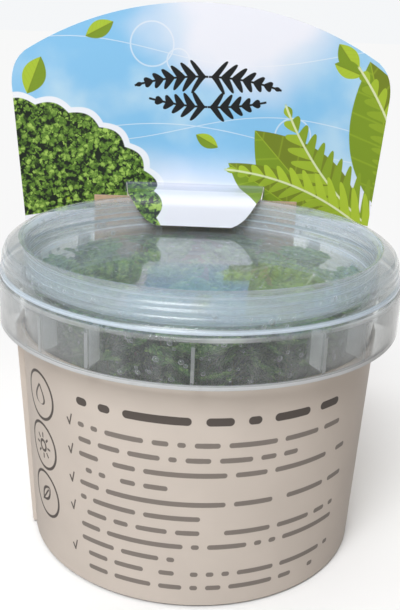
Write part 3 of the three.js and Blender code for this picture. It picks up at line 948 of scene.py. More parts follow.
def sleeve_angles():
    """The angles of the columns: across the tab, over a slit, and round the front to the other slit."""
    tab = np.linspace(TAB_ANGLE - TAB_HALF_ANGLE, TAB_ANGLE + TAB_HALF_ANGLE, TAB_COLUMNS) - 360
    belt = np.linspace(tab[-1] + SLIT, tab[0] + 360 - SLIT, BELT_COLUMNS)
    belt = np.sort(np.concatenate([belt, [LAP_ANGLE, LAP_ANGLE + LAP_EDGE]]))
    return tab, belt


def lap_rise(angle, height):
    """How far the card stands out: it climbs over its inner end, and its free edge curls away, most of
    all at the top."""
    climb = CARD * smooth_step(angle, LAP_ANGLE - LAP_WIDTH, LAP_ANGLE - LAP_WIDTH / 2)
    share = 0.35 + 0.65 * height / SLEEVE_TOP
    curl = LAP_CURL * share * smooth_step(angle, LAP_ANGLE - 9, LAP_ANGLE) ** 2
    return np.where(angle > LAP_ANGLE + LAP_EDGE / 2, 0, climb + curl)


def sleeve_sheet():
    """Columns run across the tab and then round the belt. Rows run up to the tab's root, on to the top of
    the belt or to where the tab is upright, and then up the tab alone."""
    tab, belt = sleeve_angles()
    angles = np.concatenate([tab, belt])
    is_tab = np.arange(len(angles)) < len(tab)
    low, middle, high = 15, 22, 12
    rows = low + middle + high + 1
    tab_rise, belt_rise = (
        np.concatenate([
            np.linspace(SLEEVE_FOOT, TAB_ROOT, low + 1),
            np.linspace(TAB_ROOT, knee, middle + 1)[1:],
            np.linspace(knee, top, high + 1)[1:],
        ])
        for knee, top in ((TAB_STRAIGHT, TAB_TOP), (SLEEVE_TOP, SLEEVE_TOP))
    )
    z = np.where(is_tab[:, None], tab_rise, belt_rise)
    angle = np.broadcast_to(angles[:, None], z.shape)
    turn = np.radians(angle)
    share = np.where(is_tab[:, None], smooth_step(z, TAB_ROOT, TAB_STRAIGHT), 0)
    across = TAB_CENTRE - (angle + 360 - TAB_ANGLE) / TAB_HALF_ANGLE * TAB_WIDTH / 2

    def face(side):
        radius = wall_radius(z) + SEAT + side * (CARD + np.where(is_tab[:, None], 0, lap_rise(angle, z)))
        inner = np.where(is_tab[:, None], 0, lap_rise(angle, z) - CARD).clip(0)
        radius = radius + (1 - side) * inner
        cone = np.stack([radius * np.sin(turn), -radius * np.cos(turn), z], -1)
        flat = np.stack([across, np.full_like(z, TAB_FRONT + side * CARD), z], -1)
        return cone + (flat - cone) * share[..., None]

    present = np.zeros((len(angles), rows - 1), bool)
    present[:, :low] = True
    present[: len(tab) - 1] = True
    present[len(tab) : -1, : low + middle] = True
    return card_sheet(face(0), face(1), present, turn * MAP_RADIUS, z, closed=True)


# %% [markdown]
# ## The board and what is printed on it
# Both cards are coated board: cream or white outside, with a faint tooth, bare grey-brown pulp inside and
# along the cut edges. The sleeve has room for planting advice. Plain bars stand for its lines of type: they
# are broken into words by chance, and a small table gives each row's length. Ticks mark the rows that start
# a new point, and three simple signs for water, sun and leaf stand at the left.

# %% Signs and strokes
INK_EDGE = 0.15
GAP_CHANCE = 0.22
SIGN_STROKE = 0.38


def tilted(x, y, centre, degrees):
    """Coordinates along and across a direction, from a centre."""
    a = math.radians(degrees)
    dx, dy = x - centre[0], y - centre[1]
    return dx * math.cos(a) + dy * math.sin(a), dy * math.cos(a) - dx * math.sin(a)


def stroke(x, y, start, end, half):
    """Ink within half of the straight line from start to end."""
    length = math.dist(start, end)
    degrees = math.degrees(math.atan2(end[1] - start[1], end[0] - start[0]))
    along, across = tilted(x, y, start, degrees)
    beyond = (abs(along - length / 2) - length / 2).high(0)
    return band(distance(beyond, across), half, INK_EDGE)


def lens_half(along, length, width):
    """Half the width of a leaf shape at a place along it: width / 2 times 4 s (1 - s), s from 0 to 1."""
    s = along / length
    return (s * (1 - s) * 2 * width).high(0)


def lookup(finish, index, values):
    """The value that a table gives for a whole number, by a ramp with one flat step for each."""
    top = max(values) or 1
    node = finish.node("ValToRGB", Fac=(index + 0.5) / len(values))
    node.color_ramp.interpolation = "CONSTANT"
    stops = node.color_ramp.elements
    while len(stops) < len(values):
        stops.new(1)
    for k, value in enumerate(values):
        stops[k].position = k / len(values)
        stops[k].color = (value / top, value / top, value / top, 1)
    return Field(node.outputs["Color"]) * top


def chance(finish, x, y):
    """A number from 0 to 1 that is drawn afresh for each whole x and y."""
    node = finish.node("TexWhiteNoise", Vector=finish.place(x + 0.5, y + 0.5))
    node.noise_dimensions = "2D"
    return Field(node.outputs["Value"])


def type_rows(finish, x, y, top, pitch, left, ends, height, advance):
    """Rows of plain bars. A row's number is the whole part of its depth below top, divided by the pitch.
    A row is cut into cells one advance long. Cells left out by chance part one bar from the next, and a
    bar's end is a quarter circle at each corner. ends holds where each row ends."""
    depth = (top - y) / pitch
    row = depth.floor()
    off = abs((depth - row - 0.5) * pitch)
    count = ((x - left) / advance).floor()
    along = (x - left) - count * advance
    length = lookup(finish, row, [end - left for end in ends])

    def filled(shift):
        cell = count + shift
        inside = ramp(cell, -0.6, -0.5) * ramp(length - (cell + 1) * advance, -0.01, 0.0)
        return ramp(chance(finish, cell, row * 9), GAP_CHANCE - 0.0001, GAP_CHANCE) * inside

    def rounded(open_end, away):
        corner = distance((height / 2 - away).high(0), off) - height / 2
        return 1 - open_end * ramp(corner, -0.08, 0.08)

    ink = filled(0) * (1 - ramp(off - height / 2, -0.08, 0.08))
    ink = ink * rounded(1 - filled(-1), along) * rounded(1 - filled(1), advance - along)
    return ink * within(depth, 0, len(ends))


def tick_marks(finish, x, y, top, pitch, centre, rows, starts):
    """A tick of two strokes beside each row that starts a point."""
    depth = (top - y) / pitch
    row = depth.floor()
    level = (depth - row) * -pitch + pitch / 2
    short = stroke(x, level, (centre - 0.9, 0.3), (centre - 0.2, -1.1), 0.25)
    long = stroke(x, level, (centre - 0.2, -1.1), (centre + 0.5, 1.6), 0.2)
    shown = lookup(finish, row, [float(k in starts) for k in range(rows)])
    return short.high(long) * shown * within(depth, 0, rows)


def ring(x, y, centre, radius, half, soft):
    """A circle's line, with half its width on either side."""
    return band(distance(x - centre[0], y - centre[1]) - radius, half, soft)


def water_sign(x, y, centre):
    """The outline of a drop: half its width is the root of (y + 2.3)(3.1 - y), thinned towards its tip."""
    dx, dy = x - centre[0], y - centre[1]
    half = ((dy + 2.3) * (3.1 - dy)).root() * ((3.1 - dy) / 5.4).high(0.001) ** 0.7 * 1.1
    return band(abs(dx) - half, SIGN_STROKE, 0.2) * band(dy - 0.4, 2.7, 0.1)


def sun_sign(x, y, centre):
    """A ring with eight rays, which stand where eight times the angle passes a half turn."""
    dx, dy = x - centre[0], y - centre[1]
    radius = distance(dx, dy)
    turn = (angle_of(dy, dx) / (2 * math.pi / 8) + 8.5).fraction() - 0.5
    rays = band(turn * radius, SIGN_STROKE, 0.2) * band(radius - 2.9, 0.7, 0.2)
    return band(radius - 1.4, SIGN_STROKE, 0.2).high(rays)


def leaf_sign(x, y, centre):
    """A leaf's outline with its middle rib, aslant."""
    along, across = tilted(x, y, (centre[0] - 1.9, centre[1] - 2.2), 50)
    half = lens_half(along, 6.2, 2.9)
    outline = band(abs(across) - half, SIGN_STROKE, 0.2) * band(along - 3.1, 3.1, 0.1)
    return outline.high(band(across, 0.25, 0.15) * band(along - 2.2, 2.9, 0.1))


# %% [markdown]
# ### The board
# The tooth of the board is a fine noise, and long pale fibres show in the bare side. Ink lies on top as a
# darker colour.

# %% Board
BARE_BOARD = linear(182, 154, 128)
CUT_EDGE = linear(176, 164, 150)
BARE_ROUGHNESS = 0.75


def scaled(colour, times):
    """A colour made lighter or darker, with no channel past 1."""
    return tuple(min(1, channel * times) for channel in colour)


def board(finish, face_colour, x, y, roughness, bare=BARE_BOARD):
    """A card's shader: the printed face, the bare back, and the cut edge between them, told apart by how
    far a point is from either face."""
    printed = finish.attribute("printed_side")
    place = finish.place(x, y)
    tooth = finish.noise(place, 3.2, detail=4, roughness=0.7)
    fibre = finish.noise(finish.place(x * 0.35, y * 2.2), 1.4, detail=5, roughness=0.65)
    pulp = finish.mix(ramp(fibre, 0.3, 0.7), bare, scaled(bare, 1.28))
    edge = finish.mix(ramp(tooth, 0.3, 0.7), CUT_EDGE, scaled(CUT_EDGE, 1.2))
    coat = ramp(printed, 0.93, 0.99)
    colour = finish.mix(coat, finish.mix(ramp(printed, 0.05, 0.35), pulp, edge), face_colour)
    rough = BARE_ROUGHNESS - coat * (BARE_ROUGHNESS - roughness) + (tooth - 0.5) * 0.12
    normal = finish.bump(tooth, 0.35, 0.03)
    return finish.node("BsdfPrincipled", Base_Color=colour, Roughness=rough, Normal=normal).outputs[0]


# %% Sleeve finish
CREAM = linear(208, 199, 190)
INK = linear(66, 58, 54)
ADVICE_TOP = 47.0
ADVICE_PITCH = 3.93
ADVICE_LEFT = -28.3
ADVICE_ENDS = (42.8, 26.3, 42.8, -4.2, 42.0, 2.6, 41.5, 41.5, -2.1, 41.0, 36.8)
ADVICE_POINTS = (0, 2, 4, 6, 9)
TICK_CENTRE = -30.8
HEADING = dict(top=53.4, pitch=4.6, left=-28.5, ends=(37.0,), height=2.1, advance=3.1)
SIGNS = ((water_sign, (-43.4, 46.6)), (sun_sign, (-43.4, 32.6)), (leaf_sign, (-43.4, 18.6)))
SIGN_RADIUS = 6.2


def sleeve_ink(finish, x, y):
    """How dark the ink lies: rows of advice under a heading, ticks beside them, and signs in rings."""
    rows = type_rows(finish, x, y, ADVICE_TOP, ADVICE_PITCH, ADVICE_LEFT, ADVICE_ENDS, 1.35, 1.9)
    heading = type_rows(finish, x, y, **HEADING)
    ticks = tick_marks(finish, x, y, ADVICE_TOP, ADVICE_PITCH, TICK_CENTRE, len(ADVICE_ENDS), ADVICE_POINTS)
    ink = (rows * 0.7).high(heading * 0.92).high(ticks * 0.9)
    for sign, place in SIGNS:
        framed = sign(x, y, place).high(ring(x, y, place, SIGN_RADIUS, SIGN_STROKE, 0.2))
        ink = ink.high(framed * 0.92)
    return ink


def add_sleeve():
    sleeve = make_card("card_sleeve", sleeve_sheet(), seam=2 * math.pi * MAP_RADIUS)
    finish = Finish("cream_board")
    x, y = finish.card_axes()
    cloud = finish.noise(finish.place(x, y), 0.06, detail=3)
    paper = finish.mix(ramp(cloud, 0.3, 0.7), scaled(CREAM, 0.95), CREAM)
    colour = finish.mix(sleeve_ink(finish, x, y), paper, INK)
    dress(sleeve, finish.done(board(finish, colour, x, y, roughness=0.42)), "sleeve", "sleeve")


add_sleeve()

# %% [markdown]
# ## The header card
# The header stands behind the tab. Its lattice is a stack of level rows, each as wide as the card is at
# that height: straight sides up to the shoulders, a quadratic curve round them, and then a wide arc. The
# middle columns do not stop at the notch: below it they go on as the flap, bent over the rim of the lid
# and down into the recess along a smooth path.

# %% Header shape
HEADER_CENTRE = -1.9
HEADER_FOOT = 70.0
HEADER_FOOT_HALF = 54.7
HEADER_SHOULDER = 112.0
HEADER_HALF = 57.7
HEADER_CARD = 0.7
HEADER_FRONT = TAB_FRONT + CARD + SEAT + 0.05
CROWN_RADIUS = 100.0
CROWN_TOP = 138.3
CROWN_HALF = 53.5
CROWN_CENTRE = CROWN_TOP - CROWN_RADIUS
CROWN_EDGE = CROWN_CENTRE + math.sqrt(CROWN_RADIUS**2 - CROWN_HALF**2)
FLAP_CENTRE = -2.65
FLAP_ROOT = 83.7
FLAP_ROOT_HALF = 21.6
FLAP_WAIST_HALF = 20.2
FLAP_WAIST = 0.56
FLAP_CARD = 0.6
FLAP_SLIT = 0.15
FLAP_PRINT_SLANT = 0.354


def header_half(z):
    """Half the header's width at a height: a line, then a quadratic curve (1 - t)^2 A + 2 t (1 - t) B +
    t^2 C, then a circle."""
    slope = (HEADER_HALF - HEADER_FOOT_HALF) / (HEADER_SHOULDER - HEADER_FOOT)
    line = HEADER_FOOT_HALF + slope * (z - HEADER_FOOT)
    t = np.linspace(0, 1, 60)[:, None]
    start, knee, end = np.array([
        (HEADER_HALF, HEADER_SHOULDER),
        (HEADER_HALF + 0.3, CROWN_EDGE - 3.5),
        (CROWN_HALF, CROWN_EDGE),
    ])
    curve = (1 - t) ** 2 * start + 2 * t * (1 - t) * knee + t**2 * end
    shoulder = np.interp(z, curve[:, 1], curve[:, 0])
    crown = np.sqrt(np.clip(CROWN_RADIUS**2 - (z - CROWN_CENTRE) ** 2, 0, None))
    return np.where(z < HEADER_SHOULDER, line, np.where(z < CROWN_EDGE, shoulder, crown))


def smooth_path(points, steps):
    """Points spaced evenly along a curve through the given ones (a cubic through each four), with the
    direction of travel at each."""
    p = np.array(points, float)
    p = np.concatenate([[2 * p[0] - p[1]], p, [2 * p[-1] - p[-2]]])
    t = np.linspace(0, 1, 24, endpoint=False)[:, None]
    pieces = [
        0.5 * (2 * b + (c - a) * t + (2 * a - 5 * b + 4 * c - d) * t**2 + (3 * b - a - 3 * c + d) * t**3)
        for a, b, c, d in zip(p, p[1:], p[2:], p[3:])
    ]
    dense = np.concatenate([*pieces, [p[-2]]])
    run = np.concatenate([[0], np.cumsum(np.linalg.norm(np.diff(dense, axis=0), axis=1))])
    at = np.linspace(0, run[-1], steps)
    even = np.stack([np.interp(at, run, dense[:, axis]) for axis in (0, 1)], -1)
    heading = np.gradient(even, axis=0)
    return even, heading / np.linalg.norm(heading, axis=1)[:, None], at


def flap_path(steps):
    """From the notch, forward over the rim, and down into the recess, as places (y, z)."""
    middle = HEADER_FRONT + HEADER_CARD / 2
    over_rim = LID_CREST + SEAT + 0.1 + FLAP_CARD / 2
    return smooth_path([
        (middle, FLAP_ROOT),
        (middle - 0.8, over_rim + 0.15),
        (middle - 3.0, over_rim),
        (44, over_rim),
        (41.2, over_rim - 0.5),
        (39.6, over_rim - 2.2),
        (39.0, over_rim - 5.0),
        (38.6, PANEL_TOP + 2.0),
    ], steps)


def flap_half(share):
    """Half the flap's width: a slow taper over the rim, and then a bowl that closes towards its end, by
    6 s + 2.6 s^6 millimetres, s from 0 to 1."""
    taper = FLAP_ROOT_HALF + (FLAP_WAIST_HALF - FLAP_ROOT_HALF) * share / FLAP_WAIST
    rest = np.clip((share - FLAP_WAIST) / (1 - FLAP_WAIST), 0, 1)
    return np.where(share < FLAP_WAIST, taper, FLAP_WAIST_HALF - 6 * rest - 2.6 * rest**6)


SIDE_COLUMNS, FLAP_COLUMNS, FLAP_ROWS, BODY_ROWS, CROWN_ROWS = 20, 32, 44, 24, 22


def header_sheet():
    """Columns run from the left edge to the notch, over a slit, across the flap, over a slit, and on to
    the right edge. Rows run from the foot, or the flap's end, up to the crown. The flap's print is laid out
    by z + FLAP_PRINT_SLANT y, so that it runs on over the bend without a jump."""
    low_z = np.linspace(HEADER_FOOT, FLAP_ROOT, FLAP_ROWS + 1)
    body_z = np.linspace(FLAP_ROOT, CROWN_EDGE, BODY_ROWS + 1)[1:]
    tip_angle = np.linspace(math.asin(CROWN_HALF / CROWN_RADIUS), 0, CROWN_ROWS + 1)[1:]
    z = np.concatenate([low_z, body_z, CROWN_CENTRE + CROWN_RADIUS * np.cos(tip_angle)])
    half = header_half(z)
    half[-1] = 0.0
    rise = smooth_step(z, FLAP_ROOT, CROWN_EDGE)
    low_share = np.clip((FLAP_ROOT - z) / (FLAP_ROOT - HEADER_FOOT), 0, 1)
    notch_half = FLAP_ROOT_HALF + (FLAP_WAIST_HALF - FLAP_ROOT_HALF) * low_share
    narrowed = np.minimum(1, half / HEADER_FOOT_HALF)
    centre = (FLAP_CENTRE - HEADER_CENTRE) * (1 - rise) * narrowed
    inner = notch_half + (half * 0.38 - notch_half) * rise
    s = np.linspace(0, 1, SIDE_COLUMNS)[:, None]
    m = np.linspace(-1, 1, FLAP_COLUMNS)[:, None]
    slit = FLAP_SLIT * narrowed
    left = -half + s * (centre - inner - slit + half)
    right = centre + inner + slit + s * (half - centre - inner - slit)
    x = HEADER_CENTRE + np.concatenate([left, centre + m * inner, right])
    columns = len(x)
    middle = np.full_like(x, HEADER_FRONT + HEADER_CARD / 2)
    points = np.stack([x, middle, np.broadcast_to(z, x.shape)], -1)
    away = np.broadcast_to([0.0, -1.0, 0.0], points.shape).copy()
    thickness = np.full(x.shape, HEADER_CARD)
    up = np.broadcast_to(z, x.shape).copy()
    path, heading, run = flap_path(FLAP_ROWS + 1)
    share = run / run[-1]
    flap = slice(SIDE_COLUMNS, SIDE_COLUMNS + FLAP_COLUMNS)
    down = slice(FLAP_ROWS, None, -1)
    points[flap, down, 0] = FLAP_CENTRE + m * flap_half(share)
    points[flap, down, 1], points[flap, down, 2] = path[:, 0], path[:, 1]
    away[flap, down, 1], away[flap, down, 2] = heading[:, 1], -heading[:, 0]
    thickness[flap, down] = HEADER_CARD + (FLAP_CARD - HEADER_CARD) * np.minimum(1, share * 6)
    up[flap, down] = path[:, 1] + (path[:, 0] - path[0, 0]) * FLAP_PRINT_SLANT
    present = np.ones((columns - 1, len(z) - 1), bool)
    present[SIDE_COLUMNS - 1, :FLAP_ROWS] = False
    present[SIDE_COLUMNS + FLAP_COLUMNS - 1, :FLAP_ROWS] = False
    offset = away * thickness[..., None] / 2
    return card_sheet(points - offset, points + offset, present, points[..., 0], up)


# %% [markdown]
# ## The header's print
# The card shows a pale blue sky that fades to white, a mossy slope, and fern fronds in yellow-green. All
# of it is drawn with formulas. A frond is simplest in the coordinates of the circle that its rib follows:
# one coordinate runs along the rib and the other across it, and slanting stripes between them are the
# leaflets. The same function, in black, draws the sprigs across the middle.

# %% Frond
def frond(x, y, centre, radius, start, end, width, pitch, slant, fill):
    """Ink, rib and side of a frond whose rib is an arc. along runs from 0 at the start angle to 1 at the
    end angle. The half width grows fast and falls slowly. A leaflet is a stripe of the phase
    (arc length - slant * |across|) / pitch, and it thins towards its tip."""
    forward, aside = tilted(x, y, centre, (start + end) / 2)
    sweep = math.radians(end - start)
    along = angle_of(aside, forward) / sweep + 0.5
    length = abs(sweep) * radius
    across = distance(forward, aside) - radius
    out = abs(across)
    half = ramp(along, 0.0, 0.22) * ((1 - along).high(0.0) ** 0.75) * width
    phase = (along * length - out * slant) / pitch + 40
    leaflet = abs(phase.fraction() - 0.5) * pitch
    thick = (1 - out / half.high(0.01)).high(0.0) ** 0.45 * (fill * pitch)
    body = 1 - ramp(leaflet - thick, -0.12, 0.12)
    inside = ramp(along, 0.0, 0.01) * (1 - ramp(along, 0.985, 1.0))
    green = body * (1 - ramp(out - half, -0.15, 0.1)) * inside
    rib = band(out, 0.32, 0.2) * inside
    return green.high(rib), rib, ramp(across, -0.2, 0.2)


# %% Sky, slope and small motifs
SKY = linear(134, 196, 238)
SKY_PALE = linear(186, 220, 242)
CLOUD = linear(238, 240, 250)
LEAF_BRIGHT = linear(170, 196, 48)
LEAF_DEEP = linear(124, 152, 28)
LEAF_RIB = linear(228, 236, 196)
MOSS_DARK = linear(16, 28, 12)
MOSS_MID = linear(88, 126, 40)
MOSS_LIGHT = linear(166, 200, 92)
SPRIG_BLACK = linear(14, 14, 16)
WHITE_LINE = linear(238, 242, 250)
LEAF_OLIVE = linear(116, 132, 26)
PRINT_FOOT = 72.0
PRINT_ARCH = 5.0
# Painted shade: a cool grey-blue that is mixed into the flap's print where it bends over the rim and below
# that.
PAINTED_BEND_SHADE = linear(112, 124, 148)


def sky_print(finish, x, y):
    """Blue that pales in soft billows, with white at the top, at the foot and on the flap."""
    billow = finish.noise(finish.place(x, y), 0.035, detail=3, roughness=0.45)
    fine = finish.noise(finish.place(x, y), 0.35, detail=4, roughness=0.6)
    colour = finish.mix(ramp(billow + (fine - 0.5) * 0.05, 0.45, 0.70), SKY, SKY_PALE)
    top = distance(x * 0.8 - 9, y - 136)
    crown = 1 - ramp(top + (billow - 0.5) * 26, 12, 30)
    foot = 1 - ramp(y + (billow - 0.5) * 16, 79, 97)
    flank = ramp(abs(x + 6) + (billow - 0.5) * 30 - (y - 100) * 0.25, 56, 72)
    return finish.mix(crown.high(foot).high(flank), colour, CLOUD)


def wave_line(x, y, height, swing, turn, start):
    """A thin line that swings as a sine about a height."""
    return band(y - (x * turn + start).sine() * swing - height, 0.13, 0.22)


def moss_print(finish, x, y):
    """Small lobed leaflets: the distance to the nearest of many scattered points is a lobe's height, and
    each lobe has its own tone. Slow noise gathers the lobes into clumps with deep shade between them, and
    finer noise bends their outlines."""
    bend_x = (finish.noise(finish.place(x, y), 0.9, detail=1) - 0.5) * 2.2
    bend_y = (finish.noise(finish.place(x + 50, y), 0.9, detail=1) - 0.5) * 2.2
    lobes = []
    for scale, shift in ((0.55, 0.0), (0.95, 7.0)):
        where = finish.place(x + bend_x + shift, y + bend_y)
        node = finish.node("TexVoronoi", Vector=where, Scale=scale, Randomness=1.0)
        tone = Field(finish.node("SeparateColor", Color=node.outputs["Color"]).outputs[0])
        lobes.append((1 - ramp(Field(node.outputs["Distance"]), 0.22, 0.66)) * (tone * 0.5 + 0.5))
    clump = finish.noise(finish.place(x, y), 0.30, detail=2, roughness=0.6)
    light = lobes[0].high(lobes[1] * 0.85) * (ramp(clump, 0.30, 0.60) * 0.8 + 0.2)
    dark = finish.mix(ramp(light, 0.02, 0.30), MOSS_DARK, MOSS_MID)
    return finish.mix(ramp(light, 0.30, 0.85), dark, MOSS_LIGHT)


def mound_edge(x, y):
    """How far outside the mossy mound a point lies, in millimetres: the mound is an ellipse about the
    card's lower left, and the size of a sine of the angle scallops its edge."""
    dx, dy = (x + 58) / 44, (y - 71) / 36
    return (distance(dx, dy) - 1) * 40 - abs((angle_of(dy, dx) * 13).sine()) * 1.8


def arched(root, tip, rise, width, pitch):
    """A frond whose rib is the arc from root to tip that stands rise above the chord, on its left. Half a
    chord c gives the circle's radius as (c^2 + rise^2) / (2 rise)."""
    root, tip = np.array(root, float), np.array(tip, float)
    half = (tip - root) / 2
    length = np.linalg.norm(half)
    radius = (length**2 + rise**2) / (2 * abs(rise))
    left = np.array([-half[1], half[0]]) / length * np.sign(rise)
    centre = (root + tip) / 2 - left * (radius - abs(rise))
    start, end = (math.degrees(math.atan2(*(point - centre)[::-1])) for point in (root, tip))
    end += 360 * round((start - end) / 360)
    place = dict(centre=tuple(centre.tolist()), radius=float(radius), start=start, end=end)
    return dict(place, width=width, pitch=pitch)


BROAD_LEAVES = (
    (52, 62, 133, 54, 25),
    (66, 70, 108, 56, 24),
    (46, 66, 147, 46, 17),
)
FRONDS = (
    (0.35, arched((70, 62), (24, 110), 6, width=17, pitch=4.8)),
    (0.65, arched((66, 60), (45, 122), -6, width=15, pitch=4.6)),
    (1.0, arched((68, 52), (6, 89), -9, width=14, pitch=4.4)),
)
FROND_LEAFLETS = dict(slant=0.9, fill=0.46)
FALLEN_LEAVES = (
    (-37, 127.5, 28, 9.5, 5.0),
    (39, 128, -52, 10.5, 6.0),
    (-55, 110, 68, 12, 7.2),
    (47, 119, 160, 9.5, 5.2),
    (-3, 99.5, -28, 8, 4.2),
)
SKY_WAVES = ((101, 4.5, 0.055, 0.4), (97, 5.5, 0.043, 2.1), (124, 3.5, 0.06, 4.0))
SKY_RINGS = (((-17, 126), 6.5), ((-9, 121.5), 3.4), ((27, 100), 5.5))
ORNAMENT_CENTRE = 0.3
ORNAMENT_ROWS = (
    dict(centre=(0, 44), radius=73, start=90.5, end=72.5, width=6.0),
    dict(centre=(0, 183), radius=75, start=269.5, end=283.5, width=5.6),
)
ORNAMENT_LEAFLETS = dict(pitch=3.3, slant=0.75, fill=0.42)


def fallen_leaf(x, y, place_x, place_y, degrees, length, width):
    """A single leaf, its rib, and which side of the rib a point is on."""
    along, across = tilted(x, y, (place_x, place_y), degrees)
    inside = band(along - length / 2, length / 2, 0.1)
    blade = (1 - ramp(abs(across) - lens_half(along, length, width), -0.15, 0.1)) * inside
    veins = band(((along - abs(across) * 0.8) / (length / 7)).fraction() - 0.5, 0.04, 0.06)
    return blade, band(across, 0.16, 0.15).high(veins * 0.5) * blade, ramp(across, -0.1, 0.3)


def sprig(x, y, shape):
    """A sprig drawn twice, to the right of the ornament's middle and mirrored to its left."""
    return frond(abs(x - ORNAMENT_CENTRE) - 0.6, y, **shape, **ORNAMENT_LEAFLETS)[0]


def strongest(fields):
    """The greatest of several fields at each point."""
    first, *others = fields
    for other in others:
        first = first.high(other)
    return first


# %% The layers of the print
def sky_lines(x, y):
    """Thin waves and rings drawn over the sky."""
    waves = [wave_line(x, y, *wave) for wave in SKY_WAVES]
    rings = [ring(x, y, centre, radius, 0.22, 0.25) for centre, radius in SKY_RINGS]
    return strongest(waves + rings)


def leaf_print(finish, x, y, colour):
    """Broad leaves first, then small fallen ones, and the fronds over both."""
    groups = (
        (BROAD_LEAVES, LEAF_OLIVE, LEAF_DEEP, LEAF_BRIGHT, 0.6),
        (FALLEN_LEAVES, LEAF_DEEP, LEAF_BRIGHT, LEAF_OLIVE, 0.5),
    )
    for places, shaded, sunny, veined, strength in groups:
        for place in places:
            blade, rib, side = fallen_leaf(x, y, *place)
            green = finish.mix(side, shaded, sunny)
            colour = finish.mix(blade, colour, finish.mix(rib * strength, green, veined))
    for light, shape in FRONDS:
        body, rib, side = frond(x, y, **shape, **FROND_LEAFLETS)
        green = finish.mix(side * 0.5 + 0.5 * light, LEAF_DEEP, LEAF_BRIGHT)
        colour = finish.mix(body, colour, finish.mix(rib * 0.8, green, LEAF_RIB))
    return colour


def foot_print_and_painted_flap_shade(finish, x, y, colour):
    """The card's foot is bare white below an arch, but for the flap. On the flap a painted shade, a cool
    grey-blue mixed into the print, darkens the run over the rim, where the flap faces up to the lamps, and
    more faintly the rest of the flap down into the recess.
    """
    on_flap = 1 - ramp(abs(x - FLAP_CENTRE), 21.8, 22.2)
    arch = y - (1 - (x / 55) ** 2) * PRINT_ARCH
    bare = (1 - ramp(arch, PRINT_FOOT, PRINT_FOOT + 0.2)) * (1 - on_flap)
    # Painted shade: the print is darkened where the flap lies over the rim and faces the lamps, and a
    # little further down the flap, to even out its light.
    bend = band(y - (FLAP_ROOT - 1.5), 1.7, 0.5) * 0.34
    below = (1 - ramp(y, FLAP_ROOT - 3.8, FLAP_ROOT - 3.2)) * 0.10
    return finish.mix((bend + below) * on_flap, finish.mix(bare, colour, CLOUD), PAINTED_BEND_SHADE)


def header_print(finish, x, y):
    """The layers of the print from the back to the front, with the painted shade of the flap laid in along
    with the card's foot.
    """
    colour = finish.mix(sky_lines(x, y) * 0.55, sky_print(finish, x, y), WHITE_LINE)
    colour = leaf_print(finish, x, y, colour)
    outside = mound_edge(x, y)
    colour = finish.mix(1 - ramp(outside, 1.9, 2.2), colour, WHITE_LINE)
    colour = finish.mix(1 - ramp(outside, -0.1, 0.2), colour, moss_print(finish, x, y))
    colour = foot_print_and_painted_flap_shade(finish, x, y, colour)
    dots = finish.node("TexVoronoi", Vector=finish.place(x, y), Scale=0.10, Randomness=1.0)
    dot = band(Field(dots.outputs["Distance"]), 0.05, 0.02) * ramp(Field(dots.outputs["Color"]), 0.55, 0.6)
    colour = finish.mix(dot * 0.8, colour, LEAF_BRIGHT)
    return finish.mix(strongest([sprig(x, y, row) for row in ORNAMENT_ROWS]), colour, SPRIG_BLACK)


HEADER_BACK = linear(214, 206, 194)


def add_header():
    header = make_card("header_card_print", header_sheet())
    finish = Finish("printed_board")
    x, y = finish.card_axes()
    card = board(finish, header_print(finish, x, y), x, y, roughness=0.46, bare=HEADER_BACK)
    dress(header, finish.done(card), "header_card", "header_card")


add_header()

# %% [markdown]
# ## The gel
# The stems stand in a firm clear gel. Its top is level, but it creeps up a little where it meets the wall,
# as any wet gel does. The sleeve hides it, so its finish is kept simple: a dull body seen half through.

# %% Gel
GEL_CREEP = 0.35
CREEP_WIDTH = 0.12
GEL_SEGMENTS = 144
GEL_BODY = linear(206, 208, 182)
GEL_SPECK = linear(176, 176, 140)
GEL_TINT = linear(238, 240, 224)


def gel_profile():
    """Along the floor, up the wall, and over the top, which falls from the wall by GEL_CREEP times
    1 - (1 - t)^2 within CREEP_WIDTH of its radius."""
    t = np.linspace(0, 1, 12)
    edge = bore_radius(GEL_TOP) - SEAT
    creep = np.stack([edge * (1 - CREEP_WIDTH * t), GEL_TOP - GEL_CREEP * (1 - (1 - t) ** 2)], -1)
    return np.array([
        (0, CUP_FLOOR + SEAT),
        (bore_radius(CUP_FLOOR) - CORNER - SEAT, CUP_FLOOR + SEAT),
        (bore_radius(CUP_FLOOR + CORNER) - SEAT, CUP_FLOOR + CORNER + SEAT),
        *creep,
        (0, GEL_TOP - GEL_CREEP),
    ])


def add_gel():
    gel = make_piece("culture_gel", *turn_profile(gel_profile(), GEL_SEGMENTS))
    finish = Finish("clear_gel")
    x, y, z = finish.object_axes()
    place = finish.place(x, y, z)
    uneven = finish.noise(place, 0.12, detail=2)
    speck = ramp(finish.noise(place, 0.9, detail=2), 0.62, 0.72)
    facing = Field(finish.node("LayerWeight", Blend=0.5).outputs["Facing"])
    normal = finish.bump(uneven, 0.6, 0.2)
    body = finish.node("BsdfDiffuse", Color=finish.mix(speck, GEL_BODY, GEL_SPECK))
    through = finish.node("BsdfTransparent", Color=GEL_TINT)
    gloss = finish.node("BsdfGlossy", Color=(1, 1, 1), Roughness=0.08, Normal=normal)
    wall = finish.blend(0.55, through.outputs[0], body.outputs[0])
    dress(gel, finish.done(finish.blend(facing**5 * 0.96 + 0.04, wall, gloss.outputs[0])), "gel", "gel")


add_gel()

# %% [markdown]
# ## The spikemoss
# Spikemoss grows as flat sprays: a thin stem forks again and again, and every twig carries small oval
# leaves in rows, two spread to the sides and two pressed along the top. The twigs are swept tubes. The
# leaves are one small closed lens that is copied to every node of every twig with its own size and turn,
# all of it as one array sum. The stems stand where the frame's own sprays stand, by the same seeded draws.

